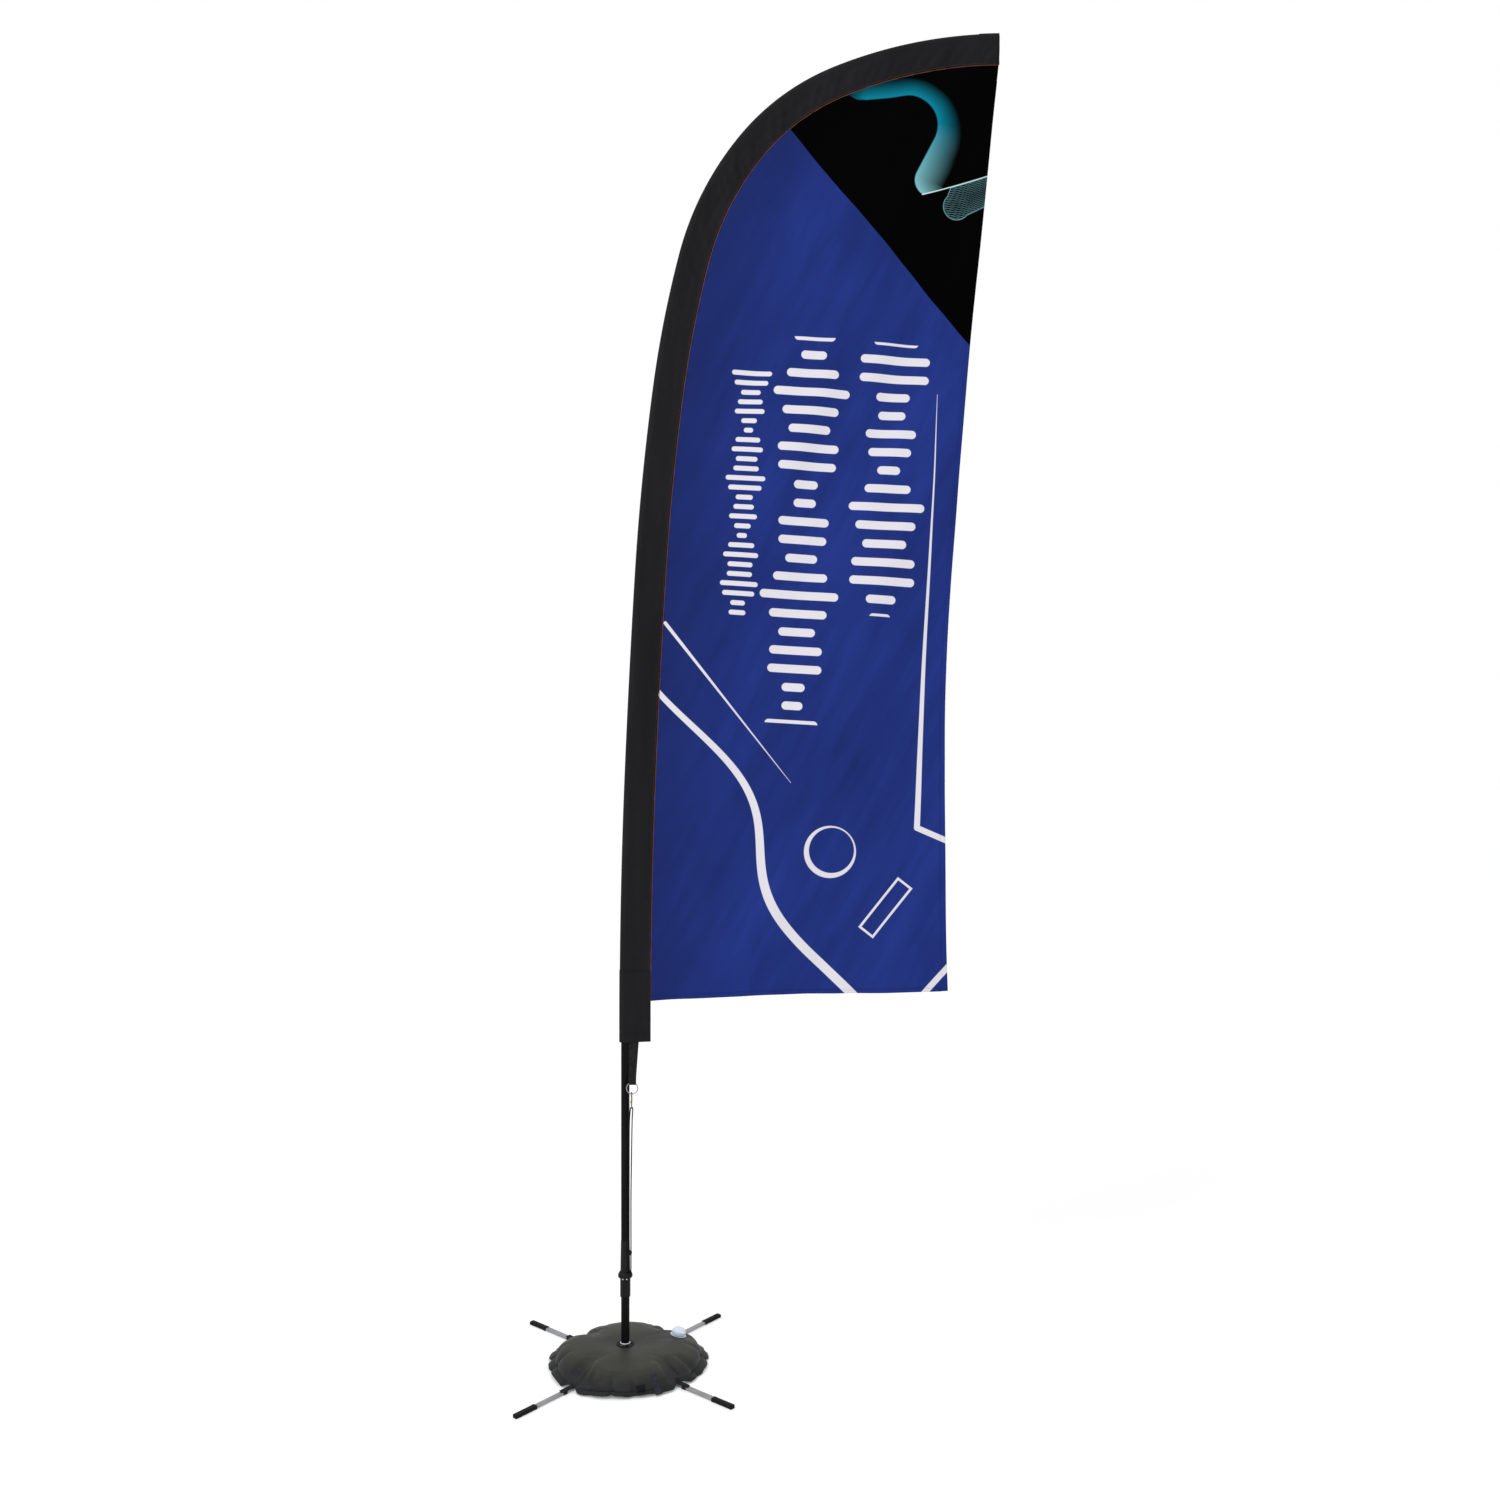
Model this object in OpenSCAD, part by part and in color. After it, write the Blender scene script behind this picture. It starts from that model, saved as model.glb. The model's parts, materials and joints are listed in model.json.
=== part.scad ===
// Feather flag: a sleeved sail on a bent telescoping pole, held down by a tension cord,
// turning on a ball-bearing spindle over a folding cross base with a water weight bag.
// Millimetres, +Z up. The origin is on the floor, on the spindle's axis. The sail lies in the
// XZ plane and flies towards +X.

/* [Base] */
// Distance from the spindle's axis to the tip of each foot
foot_reach = 370; // [330:10:450]
// Width of a leg bar
bar_w = 12; // [11:0.5:14]
// Height of a leg bar
bar_h = 6; // [6:0.5:7]
// Length of a rubber end sleeve
end_sleeve_l = 65; // [40:5:80]
// How far the base is turned from the sail, in degrees
base_turn = 5; // [-20:1:20]

/* [Weight bag] */
// Radius of the filled bag
bag_r = 205; // [200:1:210]
// Width of the tabs that tie the bag to the legs
tab_w = 24; // [16:1:30]
// Direction of the filler, from the front view's right-hand side
filler_azimuth = 26; // [20:1:35]
// Distance from the spindle's axis to the filler
filler_reach = 150; // [140:1:155]
// Outward tilt of the filler
filler_tilt = 13; // [8:1:16]
// Radius of the filler cap
cap_r = 18; // [16:0.5:19]

/* [Spindle] */
// Length of the pin that the pole slides over
pin_l = 118; // [80:2:140]
// Radial clearance between the pin and the pole's bore
pin_clearance = 0.05; // [0.02:0.01:0.1]
// Radius of the bright ring at the pole's foot
ring_r = 13.5; // [12:0.5:16]

/* [Pole] */
// Outer radius of the lowest section
pole_r = 11; // [10.8:0.1:11.2]
// Bore radius of the lowest section
pole_bore_r = 8.7; // [8.5:0.1:9]
// Height at which the pole starts to bend
bend_z = 900; // [880:10:920]
// Overlap of two sections at a joint
spigot_l = 60; // [40:5:80]

/* [Sail] */
// Width of the pole sleeve
sleeve_w = 80; // [76:1:90]
// Distance from the sleeve's outer edge to the pole's axis
sleeve_edge = 15; // [14.5:0.5:16]
// Thickness of the sleeve's cloth
sleeve_t = 0.8; // [0.6:0.1:1]
// Thickness of the printed cloth, as a solid
panel_t = 1.2; // [1:0.1:1.2]
// Width of the hems on the free edges
hem_w = 12; // [8:1:20]

/* [Tension set] */
// Diameter of the tension cord
cord_d = 3; // [2.6:0.1:3]
// Radius of the split ring, to the middle of its wire
split_ring_r = 14.7; // [14.5:0.1:15]
// Radius of the cord lock's barrel
lock_r = 5.2; // [5:0.1:5.5]

/* [Hidden] */
$fn = 64;

gap = 0.3;               // between pieces that move past each other
slip = 0.1;              // between pieces of one body that fit together

// Heights in the base, from the floor up
cap_wall = 1.5;          // rubber round the end of a bar
bar_z = cap_wall;
bar_top = bar_z + bar_h;
washer_t = 1;
crank_z = bar_top + washer_t + gap;
crank_top = crank_z + bar_h;
housing_z = crank_top + gap;
bearing_z = 31;          // the housing's solid foot fills the space below
bearing_w = 7;
spacer_t = 1;
housing_top = bearing_z + 2 * bearing_w + spacer_t + 2;
grommet_top = housing_top + 1.8;
ring_z = grommet_top + 1.2;
ring_h = 6;
pole_z = ring_z + ring_h + gap;

// Leg bars
lower_dir = 45 + base_turn;
upper_dir = -45 + base_turn;
bolt_r = 3;
bolt_grip = 10;          // thread of the bolt in the housing
crank_flat = 36;         // half length of the raised middle
crank_run = 20;          // length of each slope beside it
band_reach = 206;
band_l = 12;
band_t = 1.2;

// Bearings
race_outer_r = 11;
race_inner_r = 4;
ball_pitch_r = 7.7;
ball_r = 1.85;
balls = 8;
groove_r = 1.92;

// Weight bag
bag_under = 10;          // its underside, clear of the folding bar
recess_z = housing_z + 3.6;  // its underside round the housing
grommet_r = 18;

// Filler
neck_r = 12.4;
neck_top = 9;
cap_h = 15;
cap_bore_r = 13.1;

// Pole: each stretch above bend_z has a length and a bend, in degrees towards +X
stretches = [[640, 2.4], [500, 1.0], [500, 4.2], [350, 7.0], [345, 25.2], [295, 28.1], [435, 21.4]];
section_r = [pole_r, pole_bore_r - slip, 6.45, 4.55];
section_bore_r = [pole_bore_r, 6.7, 4.8];
section_2_end = 1140;
section_3_end = 1990;
pole_sides = 16;
ferrule_l = 30;
ferrule_t = 1.1;

// Sleeve: how thick it stands over the pole, at its mouth and at the tip
bulge_mouth = 13.4;
bulge_tip = 8;
mouth_z = 838;
cuff_top_z = 1023;
sail_foot_z = 943;       // where the panel's bottom edge meets the sleeve

// Tension set
set_y = -13.5;           // the ring, hook and upper cord hang in front of the pole's axis
cord_y = -12.5;
ring_x = 19;
split_ring_z = 719;
wire_r = 1.3;
hook_x = 17.5;
hook_wire_r = 1.8;
hook_bend_r = 5.5;
hook_top_z = 702.3;
hook_foot_z = 684;
gate_z = 686;
eye_z = 671;
strand_x = [11, 15.9];
flange_z = 222.3;
lock_z = 293;

// ---------- the pole's path ----------

// Heading at the start of stretch i, in degrees from +Z towards +X
function heading_at(i) = i == 0 ? 0 : heading_at(i - 1) + stretches[i - 1][1];
// Length along the pole at the start of stretch i
function start_of(i) = i == 0 ? 0 : start_of(i - 1) + stretches[i - 1][0];
function radius_of(i) = stretches[i][0] / (stretches[i][1] * PI / 180);
function inward(h) = [cos(h), -sin(h)];
pole_end = start_of(len(stretches));

// The stretch that holds the length s
function stretch_of(s, i = 0) =
    i == len(stretches) - 1 || s < start_of(i + 1) ? i : stretch_of(s, i + 1);
function heading(s) = s <= 0 ? 0 :
    let (i = stretch_of(s)) heading_at(i) + (s - start_of(i)) / stretches[i][0] * stretches[i][1];
// The axis point [x, z] at the start of stretch i
function start_point(i) = i == 0 ? [0, bend_z] :
    start_point(i - 1) + radius_of(i - 1) * (inward(heading_at(i - 1)) - inward(heading_at(i)));
// The axis point [x, z] at the length s
function axis_point(s) = s <= 0 ? [0, bend_z + s] :
    let (i = stretch_of(s))
    start_point(i) + radius_of(i) * (inward(heading_at(i)) - inward(heading(s)));
// The point [x, z] at a distance u inwards from the sleeve's outer edge
function sleeve_point(s, u) = axis_point(s) + (u - sleeve_edge) * inward(heading(s));

// A round tube or rod along the pole from the length s0 to s1
module along_pole(s0, s1, r, bore) {
    for (i = [0 : len(stretches) - 1]) {
        a = max(s0, start_of(i));
        b = min(s1, start_of(i + 1));
        if (b > a) {
            bend_r = radius_of(i);
            h = heading_at(i) + (a - start_of(i)) / stretches[i][0] * stretches[i][1];
            centre = axis_point(a) + bend_r * inward(h);
            translate([centre[0], 0, centre[1]])
                rotate([-90, 0, 0])
                rotate([0, 0, 180 + h])
                rotate_extrude(angle = (b - a) / bend_r * 180 / PI, $fn = 256)
                translate([bend_r, 0])
                difference() {
                    circle(r, $fn = 48);
                    if (bore > 0) circle(bore, $fn = 48);
                }
        }
    }
}

// Its children at the length s, with +Z along the pole
module at_pole(s) {
    p = axis_point(s);
    translate([p[0], 0, p[1]]) rotate([0, heading(s), 0]) children();
}

// ---------- shapes that repeat ----------

module tube(r, bore, z0, z1) {
    difference() {
        translate([0, 0, z0]) cylinder(r = r, h = z1 - z0);
        translate([0, 0, z0 - 1]) cylinder(r = bore, h = z1 - z0 + 2);
    }
}

module rounded_rect(w, h, r) {
    square([w - 2 * r, h], center = true);
    square([w, h - 2 * r], center = true);
    for (x = [-1, 1], y = [-1, 1])
        translate([x * (w / 2 - r), y * (h / 2 - r)]) circle(r);
}

// A rounded bar along +X from x0 to x1, centred at the leg bars' height
module leg_prism(x0, x1, w, h, r) {
    translate([x0, 0, bar_z + bar_h / 2])
        rotate([90, 0, 90])
        linear_extrude(x1 - x0) rounded_rect(w, h, r);
}

// The two rubber sleeves on the ends of one bar
module end_sleeves(direction) {
    for (turn = [0, 180])
        rotate([0, 0, direction + turn])
            difference() {
                leg_prism(foot_reach - end_sleeve_l, foot_reach,
                    bar_w + 2 * cap_wall, bar_h + 2 * cap_wall, 3);
                leg_prism(foot_reach - end_sleeve_l - 1, foot_reach - 4 + slip,
                    bar_w + 2 * slip, bar_h + 2 * slip, 0.2);
            }
}

// The two webbing bands round one bar
module bands(direction) {
    for (turn = [0, 180])
        rotate([0, 0, direction + turn])
            difference() {
                leg_prism(band_reach, band_reach + band_l,
                    bar_w + 2 * band_t + 0.4, bar_h + 2 * band_t + 0.4, 2.5);
                leg_prism(band_reach - 1, band_reach + band_l + 1,
                    bar_w + 2 * slip, bar_h + 2 * slip, 0.2);
            }
}

// Its children for each of the two bearings, at the middle of its width
module each_bearing() {
    for (i = [0, 1])
        translate([0, 0, bearing_z + bearing_w / 2 + i * (bearing_w + spacer_t)]) children();
}

// Its children in the filler's frame, with +Z out along its axis
module at_filler() {
    rotate([0, 0, filler_azimuth])
        translate([filler_reach, 0, 48])
        rotate([0, filler_tilt, 0]) children();
}

// ---------- base ----------

module lower_leg_bar() {
    color([0.72, 0.73, 0.74])
    rotate([0, 0, lower_dir])
        difference() {
            leg_prism(4 - foot_reach, foot_reach - 4, bar_w, bar_h, 1.2);
            cylinder(r = bolt_r + 0.2, h = 40);
        }
}

module lower_leg_sleeves() {
    color([0.08, 0.08, 0.09]) end_sleeves(lower_dir);
}

module lower_leg_bands() {
    color([0.07, 0.07, 0.08]) bands(lower_dir);
}

module centre_pad() {
    color([0.08, 0.08, 0.09])
    difference() {
        cylinder(r = 16, h = bar_z);
        translate([0, 0, 0.4]) cylinder(r = 7.2, h = bar_z);
    }
}

module pivot_bolt() {
    color([0.75, 0.76, 0.78]) {
        translate([0, 0, 0.5]) cylinder(r = 7, h = bar_z - 0.5);
        translate([0, 0, 1]) cylinder(r = bolt_r, h = housing_z + bolt_grip - 1);
    }
}

module pivot_washer() {
    color([0.9, 0.9, 0.86]) tube(12, bolt_r + 0.2, bar_top, bar_top + washer_t);
}

module bearing_housing() {
    color([0.25, 0.26, 0.27])
    difference() {
        union() {
            translate([0, 0, housing_z]) cylinder(r = 15, h = housing_top - housing_z);
            translate([0, 0, housing_z]) cylinder(r = 20, h = 3);
        }
        translate([0, 0, housing_z - 1]) cylinder(r = bolt_r + 0.02, h = bolt_grip + 1.2);
        translate([0, 0, bearing_z - 2.6]) cylinder(r = 7, h = 10);
        translate([0, 0, bearing_z]) cylinder(r = race_outer_r + 0.02, h = 30);
    }
}

module bearing_outer_races() {
    color([0.8, 0.81, 0.83])
    each_bearing()
        difference() {
            tube(race_outer_r, 9.1, -bearing_w / 2, bearing_w / 2);
            rotate_extrude() translate([ball_pitch_r, 0]) circle(groove_r);
        }
}

module bearing_spacer() {
    z = bearing_z + bearing_w;
    color([0.6, 0.61, 0.63]) tube(race_outer_r, 9.3, z + 0.02, z + spacer_t - 0.02);
}

module bearing_circlip() {
    z = bearing_z + 2 * bearing_w + spacer_t;
    color([0.3, 0.31, 0.33])
    difference() {
        tube(race_outer_r, 9.4, z + 0.1, z + 1.1);
        translate([0, -1.5, z]) cube([20, 3, 3]);
    }
}

module weight_bag() {
    color([0.27, 0.27, 0.25])
    difference() {
        rotate_extrude($fn = 96)
            polygon([[grommet_r + gap, recess_z], [grommet_r + gap, housing_top - 0.8],
                [24, housing_top - 0.6], [60, 52], [110, 54], [135, 51.5], [155, 46.5], [180, 38.5], [197, 28],
                [bag_r, 20], [bag_r - 1.5, 16.5], [bag_r - 7, bag_under], [68, bag_under],
                [64, recess_z]]);
        at_filler() translate([0, 0, -4]) cylinder(r = cap_r + 3.3, h = 30);
    }
}

module bag_welt() {
    color([0.12, 0.12, 0.12])
    rotate_extrude($fn = 96)
        polygon([[bag_r + 0.2, 19.2], [bag_r + 5, 18.6], [bag_r + 5, 20.4], [bag_r + 0.2, 20.8]]);
}

module bag_tabs() {
    color([0.1, 0.1, 0.1])
    for (turn = [0 : 90 : 270])
        rotate([0, 0, lower_dir + turn])
            translate([bag_r + 0.4, -tab_w / 2, bag_under + 0.3]) cube([15, tab_w, 2.2]);
}

module bag_grommet() {
    color([0.09, 0.09, 0.1]) {
        tube(grommet_r, 15.2, housing_z + 3.4, grommet_top);
        tube(23, grommet_r - 0.5, housing_top - 0.2, grommet_top);
    }
}

module filler_neck() {
    color([0.85, 0.88, 0.92])
    at_filler()
        difference() {
            union() {
                translate([0, 0, -3.9]) cylinder(r = cap_r + 3, h = 2.4);
                translate([0, 0, -3.9]) cylinder(r = neck_r - 0.9, h = neck_top + 3.9);
                for (z = [1 : 3 : 7])
                    translate([0, 0, z]) cylinder(r = neck_r, h = 1.2);
            }
            translate([0, 0, -5]) cylinder(r = 9, h = 30);
        }
}

// A strip that lies on the slope above the bag's rim, as its outline in [radius, z]
module rim_strip(azimuth, span, foot, head) {
    rotate([0, 0, azimuth - span / 2])
        rotate_extrude(angle = span)
        polygon([foot, [197.8, 29.1], head, head + [0.7, 1.2], [198.7, 30.3], foot + [1.2, 1]]);
}

module carry_patch() {
    color([0.1, 0.1, 0.11]) rim_strip(-62, 14, [bag_r + 1, 21], [186, 36]);
}

module carry_buckle() {
    color([0.06, 0.06, 0.07])
    rotate([0, 0, -76])
        translate([202.6, 0, 27])
        rotate([0, 45, 0])
        difference() {
            translate([-6, -13, 0]) cube([12, 26, 2.4]);
            for (x = [-3.6, 0.8]) translate([x, -9.5, -1]) cube([2.8, 19, 5]);
        }
}

// ---------- folding upper bar ----------

// Side view of the cranked bar as [x, z], reaching to x
module crank_profile(x) {
    rise = crank_z - bar_z;
    flat = crank_flat;
    foot = crank_flat + crank_run;
    translate([0, bar_z])
        polygon([[-x, 0], [-foot, 0], [-flat, rise], [flat, rise], [foot, 0], [x, 0],
            [x, bar_h], [foot, bar_h], [flat, rise + bar_h],
            [-flat, rise + bar_h], [-foot, bar_h], [-x, bar_h]]);
}

module upper_leg_bar() {
    color([0.72, 0.73, 0.74])
    rotate([0, 0, upper_dir])
        difference() {
            rotate([90, 0, 0])
                linear_extrude(bar_w, center = true) crank_profile(foot_reach - 4);
            cylinder(r = bolt_r + pin_clearance, h = 60);
        }
}

module upper_leg_sleeves() {
    color([0.08, 0.08, 0.09]) end_sleeves(upper_dir);
}

module upper_leg_bands() {
    color([0.07, 0.07, 0.08]) bands(upper_dir);
}

// ---------- filler cap ----------

module cap_gasket() {
    color([0.2, 0.2, 0.22]) at_filler() tube(cap_bore_r - gap, 8.5, neck_top + gap, 11.2);
}

module filler_cap() {
    lobes = 12;
    color([0.78, 0.87, 0.95])
    at_filler()
        difference() {
            union() {
                cylinder(r = cap_r - 1, h = cap_h - 2);
                cylinder(r = cap_r - 3, h = cap_h);
                for (i = [0 : lobes - 1])
                    rotate([0, 0, i * 360 / lobes])
                        translate([cap_r - 1.6, 0, 0]) cylinder(r = 2.2, h = cap_h - 2.5);
            }
            translate([0, 0, -1]) cylinder(r = cap_bore_r, h = 12.5);
            rotate_extrude() translate([cap_r - 7, cap_h]) circle(1);
        }
}

// ---------- spindle ----------

module spindle() {
    pin_top = pole_z - gap + pin_l;
    pin_r = pole_bore_r - pin_clearance;
    color([0.6, 0.61, 0.63])
    difference() {
        union() {
            translate([0, 0, bearing_z]) cylinder(r = race_inner_r - 0.01, h = 20);
            translate([0, 0, housing_top + gap]) cylinder(r = pin_r, h = pin_top - housing_top - 2);
            translate([0, 0, pin_top - 2 + gap]) cylinder(r1 = pin_r, r2 = pin_r - 2, h = 2);
        }
        translate([0, 0, bearing_z - 1]) cylinder(r = 2.55, h = 14);
    }
}

module spindle_ring() {
    color([0.86, 0.87, 0.88])
    rotate_extrude()
        polygon([[pole_bore_r, ring_z], [ring_r - 1, ring_z], [ring_r, ring_z + 1],
            [ring_r, ring_z + ring_h - 1.5], [ring_r - 1.5, ring_z + ring_h],
            [pole_bore_r, ring_z + ring_h]]);
}

module bearing_inner_races() {
    color([0.8, 0.81, 0.83])
    each_bearing()
        difference() {
            tube(6.3, race_inner_r, -bearing_w / 2, bearing_w / 2);
            rotate_extrude() translate([ball_pitch_r, 0]) circle(groove_r);
        }
}

module at_balls() {
    for (i = [0 : balls - 1])
        rotate([0, 0, i * 360 / balls]) translate([ball_pitch_r, 0, 0]) children();
}

module bearing_balls() {
    color([0.9, 0.9, 0.92]) each_bearing() at_balls() sphere(r = ball_r, $fn = 24);
}

module bearing_cages() {
    color([0.75, 0.6, 0.3])
    each_bearing()
        difference() {
            tube(8.4, 7, -2.4, 2.4);
            at_balls() translate([-3, 0, 0]) rotate([0, 90, 0]) cylinder(r = ball_r + slip, h = 6);
        }
}

module spindle_screw() {
    color([0.7, 0.71, 0.73]) {
        translate([0, 0, bearing_z - 2.2]) cylinder(r = 6, h = 2.1);
        translate([0, 0, bearing_z - 1]) cylinder(r = 2.5, h = 12);
    }
}

// ---------- pole ----------

module pole_section_1() {
    color([0.1, 0.1, 0.11]) tube(section_r[0], section_bore_r[0], pole_z, bend_z);
}

// Lengths from s0 to s1 at which a bent section has a ring of points
function section_stations(s0, s1) = concat([s0, s0 + 30],
    [for (s = stations) if (s > s0 + 35 && s < s1 - spigot_l - 5) s], [s1 - spigot_l, s1 - 30, s1]);
// A ring of points round the pole's axis at the length s
function round_outline(s, r) = [for (k = [0 : pole_sides - 1])
    let (a = k * 360 / pole_sides) section_point(s, sleeve_edge + r * cos(a), -r * sin(a))];

module pole_section_2() {
    s = section_stations(-spigot_l, section_2_end);
    color([0.1, 0.1, 0.11])
    loft_tube([for (x = s) round_outline(x, section_r[1])],
        [for (x = s) round_outline(x, section_bore_r[1])]);
}

module pole_section_3() {
    s = section_stations(section_2_end - spigot_l, section_3_end);
    color([0.1, 0.1, 0.11])
    loft_tube([for (x = s) round_outline(x, section_r[2])],
        [for (x = s) round_outline(x, section_bore_r[2])]);
}

module pole_section_4() {
    color([0.1, 0.1, 0.11])
    loft([for (x = section_stations(section_3_end - spigot_l, pole_end - 8))
        round_outline(x, section_r[3])]);
}

module ferrule_1() {
    color([0.2, 0.2, 0.21])
    tube(section_r[0] + ferrule_t, section_r[0] + 0.05, bend_z - ferrule_l, bend_z);
}

module ferrule_2() {
    color([0.2, 0.2, 0.21])
    along_pole(section_2_end - ferrule_l, section_2_end, section_r[1] + ferrule_t,
        section_r[1] + 0.05);
}

module ferrule_3() {
    color([0.2, 0.2, 0.21])
    along_pole(section_3_end - ferrule_l, section_3_end, section_r[2] + ferrule_t,
        section_r[2] + 0.05);
}

module pole_tip_cap() {
    color([0.06, 0.06, 0.06])
    at_pole(pole_end - 30)
        difference() {
            cylinder(r = 6.2, h = 27);
            translate([0, 0, -1]) cylinder(r = section_r[3] + gap, h = 23.5);
        }
}

module pole_grip() {
    color([0.08, 0.08, 0.08])
    rotate_extrude()
        polygon([[pole_r + 0.05, 242], [12.6, 242], [12.6, 262], [11.5, 318], [pole_r + 0.05, 322]]);
}

module collar() {
    foot = 176;
    head = flange_z - gap;
    color([0.11, 0.11, 0.12])
    difference() {
        tube(13.4, pole_r + 0.05, foot, head);
        for (z = [foot + 5 : 8 : head - 5])
            tube(20, 12.7, z, z + 2);
    }
}

module cord_flange() {
    color([0.09, 0.09, 0.1])
    difference() {
        rotate_extrude()
            polygon([[pole_r + 0.05, flange_z], [14, flange_z], [19, flange_z + 5.2],
                [19, flange_z + 8.7], [17.6, flange_z + 13.5], [14, flange_z + 19],
                [pole_r + 0.05, flange_z + 19]]);
        for (p = [cord_route[0], cord_route[len(cord_route) - 1]])
            translate([p[0], p[1], p[2] - 1]) cylinder(r = cord_d / 2 + slip, h = 40);
        for (x = [-5, 5])
            translate([x, -13, flange_z + 2.4]) rotate([90, 0, 0]) cylinder(r = 2.3, h = 10);
    }
}

module flange_screws() {
    color([0.8, 0.8, 0.82])
    for (x = [-5, 5])
        translate([x, -13.1, flange_z + 2.4])
            rotate([90, 0, 0])
            difference() {
                cylinder(r = 2.1, h = 1.8);
                translate([-0.3, -3, 1.2]) cube([0.6, 6, 2]);
                translate([-3, -0.3, 1.2]) cube([6, 0.6, 2]);
            }
}

// ---------- sail ----------

mouth_s = mouth_z - bend_z;
foot_s = sail_foot_z - bend_z;

// Lengths at which the sleeve and the seam have a point: closer together where the pole bends more
stations = concat([mouth_s, -10, foot_s, foot_s + hem_w],
    [for (i = [0 : len(stretches) - 1])
        let (n = ceil(max(stretches[i][0] / 80, stretches[i][1] / 2)))
        for (k = [1 : n])
            if (start_of(i) + k / n * stretches[i][0] > foot_s + hem_w + 5)
                start_of(i) + k / n * stretches[i][0]]);

function bulge(s) =
    bulge_mouth + (bulge_tip - bulge_mouth) * (s - mouth_s) / (pole_end - mouth_s);
// Half the sleeve's thickness at a distance u from its outer edge: round over the pole, then
// falling straight to the seam
function half_t(s, u) = u < sleeve_edge
    ? bulge(s) * sqrt(max(0, 1 - pow((sleeve_edge - u) / sleeve_edge, 2)))
    : bulge(s) + (panel_t / 2 - bulge(s)) * (u - sleeve_edge) / (sleeve_w - sleeve_edge);

outer_u = [3, 9, sleeve_edge, 28, 42, 56, 70, sleeve_w];
inner_u = [3.6, 9, sleeve_edge, 26, 36, 46, 56, 64];

// The point of the sleeve's section at u, v, in the row's frame
function section_point(s, u, v) = let (p = sleeve_point(s, u)) [p[0], v, p[1]];
// Closed outline of the section: nose, one side to the seam, and back along the other side.
// It runs at a distance g outside the sleeve's outer face.
function outer_outline(s, g) = concat(
    [section_point(s, -g, 0)],
    [for (u = outer_u) section_point(s, u - (u < 5 ? g * 0.7 : 0), -half_t(s, u) - g)],
    [for (i = [len(outer_u) - 1 : -1 : 0]) let (u = outer_u[i])
        section_point(s, u - (u < 5 ? g * 0.7 : 0), half_t(s, u) + g)]);
function inner_outline(s) = concat(
    [section_point(s, sleeve_t, 0)],
    [for (u = inner_u) section_point(s, u, -half_t(s, u) + sleeve_t)],
    [for (i = [len(inner_u) - 1 : -1 : 0]) let (u = inner_u[i])
        section_point(s, u, half_t(s, u) - sleeve_t)]);
// A strip from g0 to g1 outside the sleeve's outer face, round the nose as far as u_end
function half_strip(s, g, side, us) = [for (u = us) section_point(s, u, side * (half_t(s, u) + g))];
function strip_outline(s, g0, g1, u_end) =
    let (us = [for (u = outer_u) if (u < u_end) u], back = [for (i = [len(us) - 1 : -1 : 0]) us[i]])
    concat(
        half_strip(s, g1, 1, back), [section_point(s, -g1, 0)], half_strip(s, g1, -1, us),
        half_strip(s, g0, -1, back), [section_point(s, -g0, 0)], half_strip(s, g0, 1, us));

function flat_list(lists) = [for (l = lists) for (p = l) p];
// Side faces between outlines of n points, and the same ones turned inside out
function side_faces(n, m, first = 0) = [for (i = [0 : m - 2]) for (j = [0 : n - 1])
    [first + i * n + j, first + i * n + (j + 1) % n, first + (i + 1) * n + (j + 1) % n,
        first + (i + 1) * n + j]];
function reversed(faces) = [for (f = faces) [for (i = [len(f) - 1 : -1 : 0]) f[i]]];

// A solid through convex outlines that each have the same number of points
module loft(outlines) {
    n = len(outlines[0]);
    m = len(outlines);
    polyhedron(flat_list(outlines), concat(side_faces(n, m),
        [[for (j = [n - 1 : -1 : 0]) j]], [[for (j = [0 : n - 1]) (m - 1) * n + j]]));
}

// The same for a strip's outlines, whose second half runs back along the first
module loft_strip(outlines) {
    n = len(outlines[0]);
    m = len(outlines);
    last = (m - 1) * n;
    polyhedron(flat_list(outlines), concat(side_faces(n, m),
        [for (j = [0 : n / 2 - 2]) [j, n - 1 - j, n - 2 - j, j + 1]],
        [for (j = [0 : n / 2 - 2]) [last + j, last + j + 1, last + n - 2 - j, last + n - 1 - j]]));
}

// A hollow solid between outer and inner outlines
module loft_tube(outer, inner) {
    n = len(outer[0]);
    m = len(outer);
    last = (m - 1) * n;
    ends = [for (j = [0 : n - 1]) let (k = (j + 1) % n)
        each [[j, m * n + j, m * n + k, k],
            [last + j, last + k, m * n + last + k, m * n + last + j]]];
    polyhedron(concat(flat_list(outer), flat_list(inner)),
        concat(side_faces(n, m), reversed(side_faces(n, m, m * n)), ends));
}

module sleeve() {
    color([0.13, 0.12, 0.13])
    loft_tube([for (s = stations) outer_outline(s, 0)], [for (s = stations) inner_outline(s)]);
}

module sleeve_cuff() {
    cuff_s = cuff_top_z - bend_z;
    color([0.1, 0.1, 0.1])
    loft_strip([for (s = [mouth_s, 0, foot_s, cuff_s]) strip_outline(s, 0.2, 1, 79)]);
}

module tip_pocket() {
    color([0.1, 0.1, 0.1]) {
        loft_strip([for (s = [pole_end - 50, pole_end - 25, pole_end]) strip_outline(s, 0.2, 1, 79)]);
        loft([for (s = [pole_end + 0.1, pole_end + 1.3]) outer_outline(s, 0.5)]);
    }
}

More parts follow.
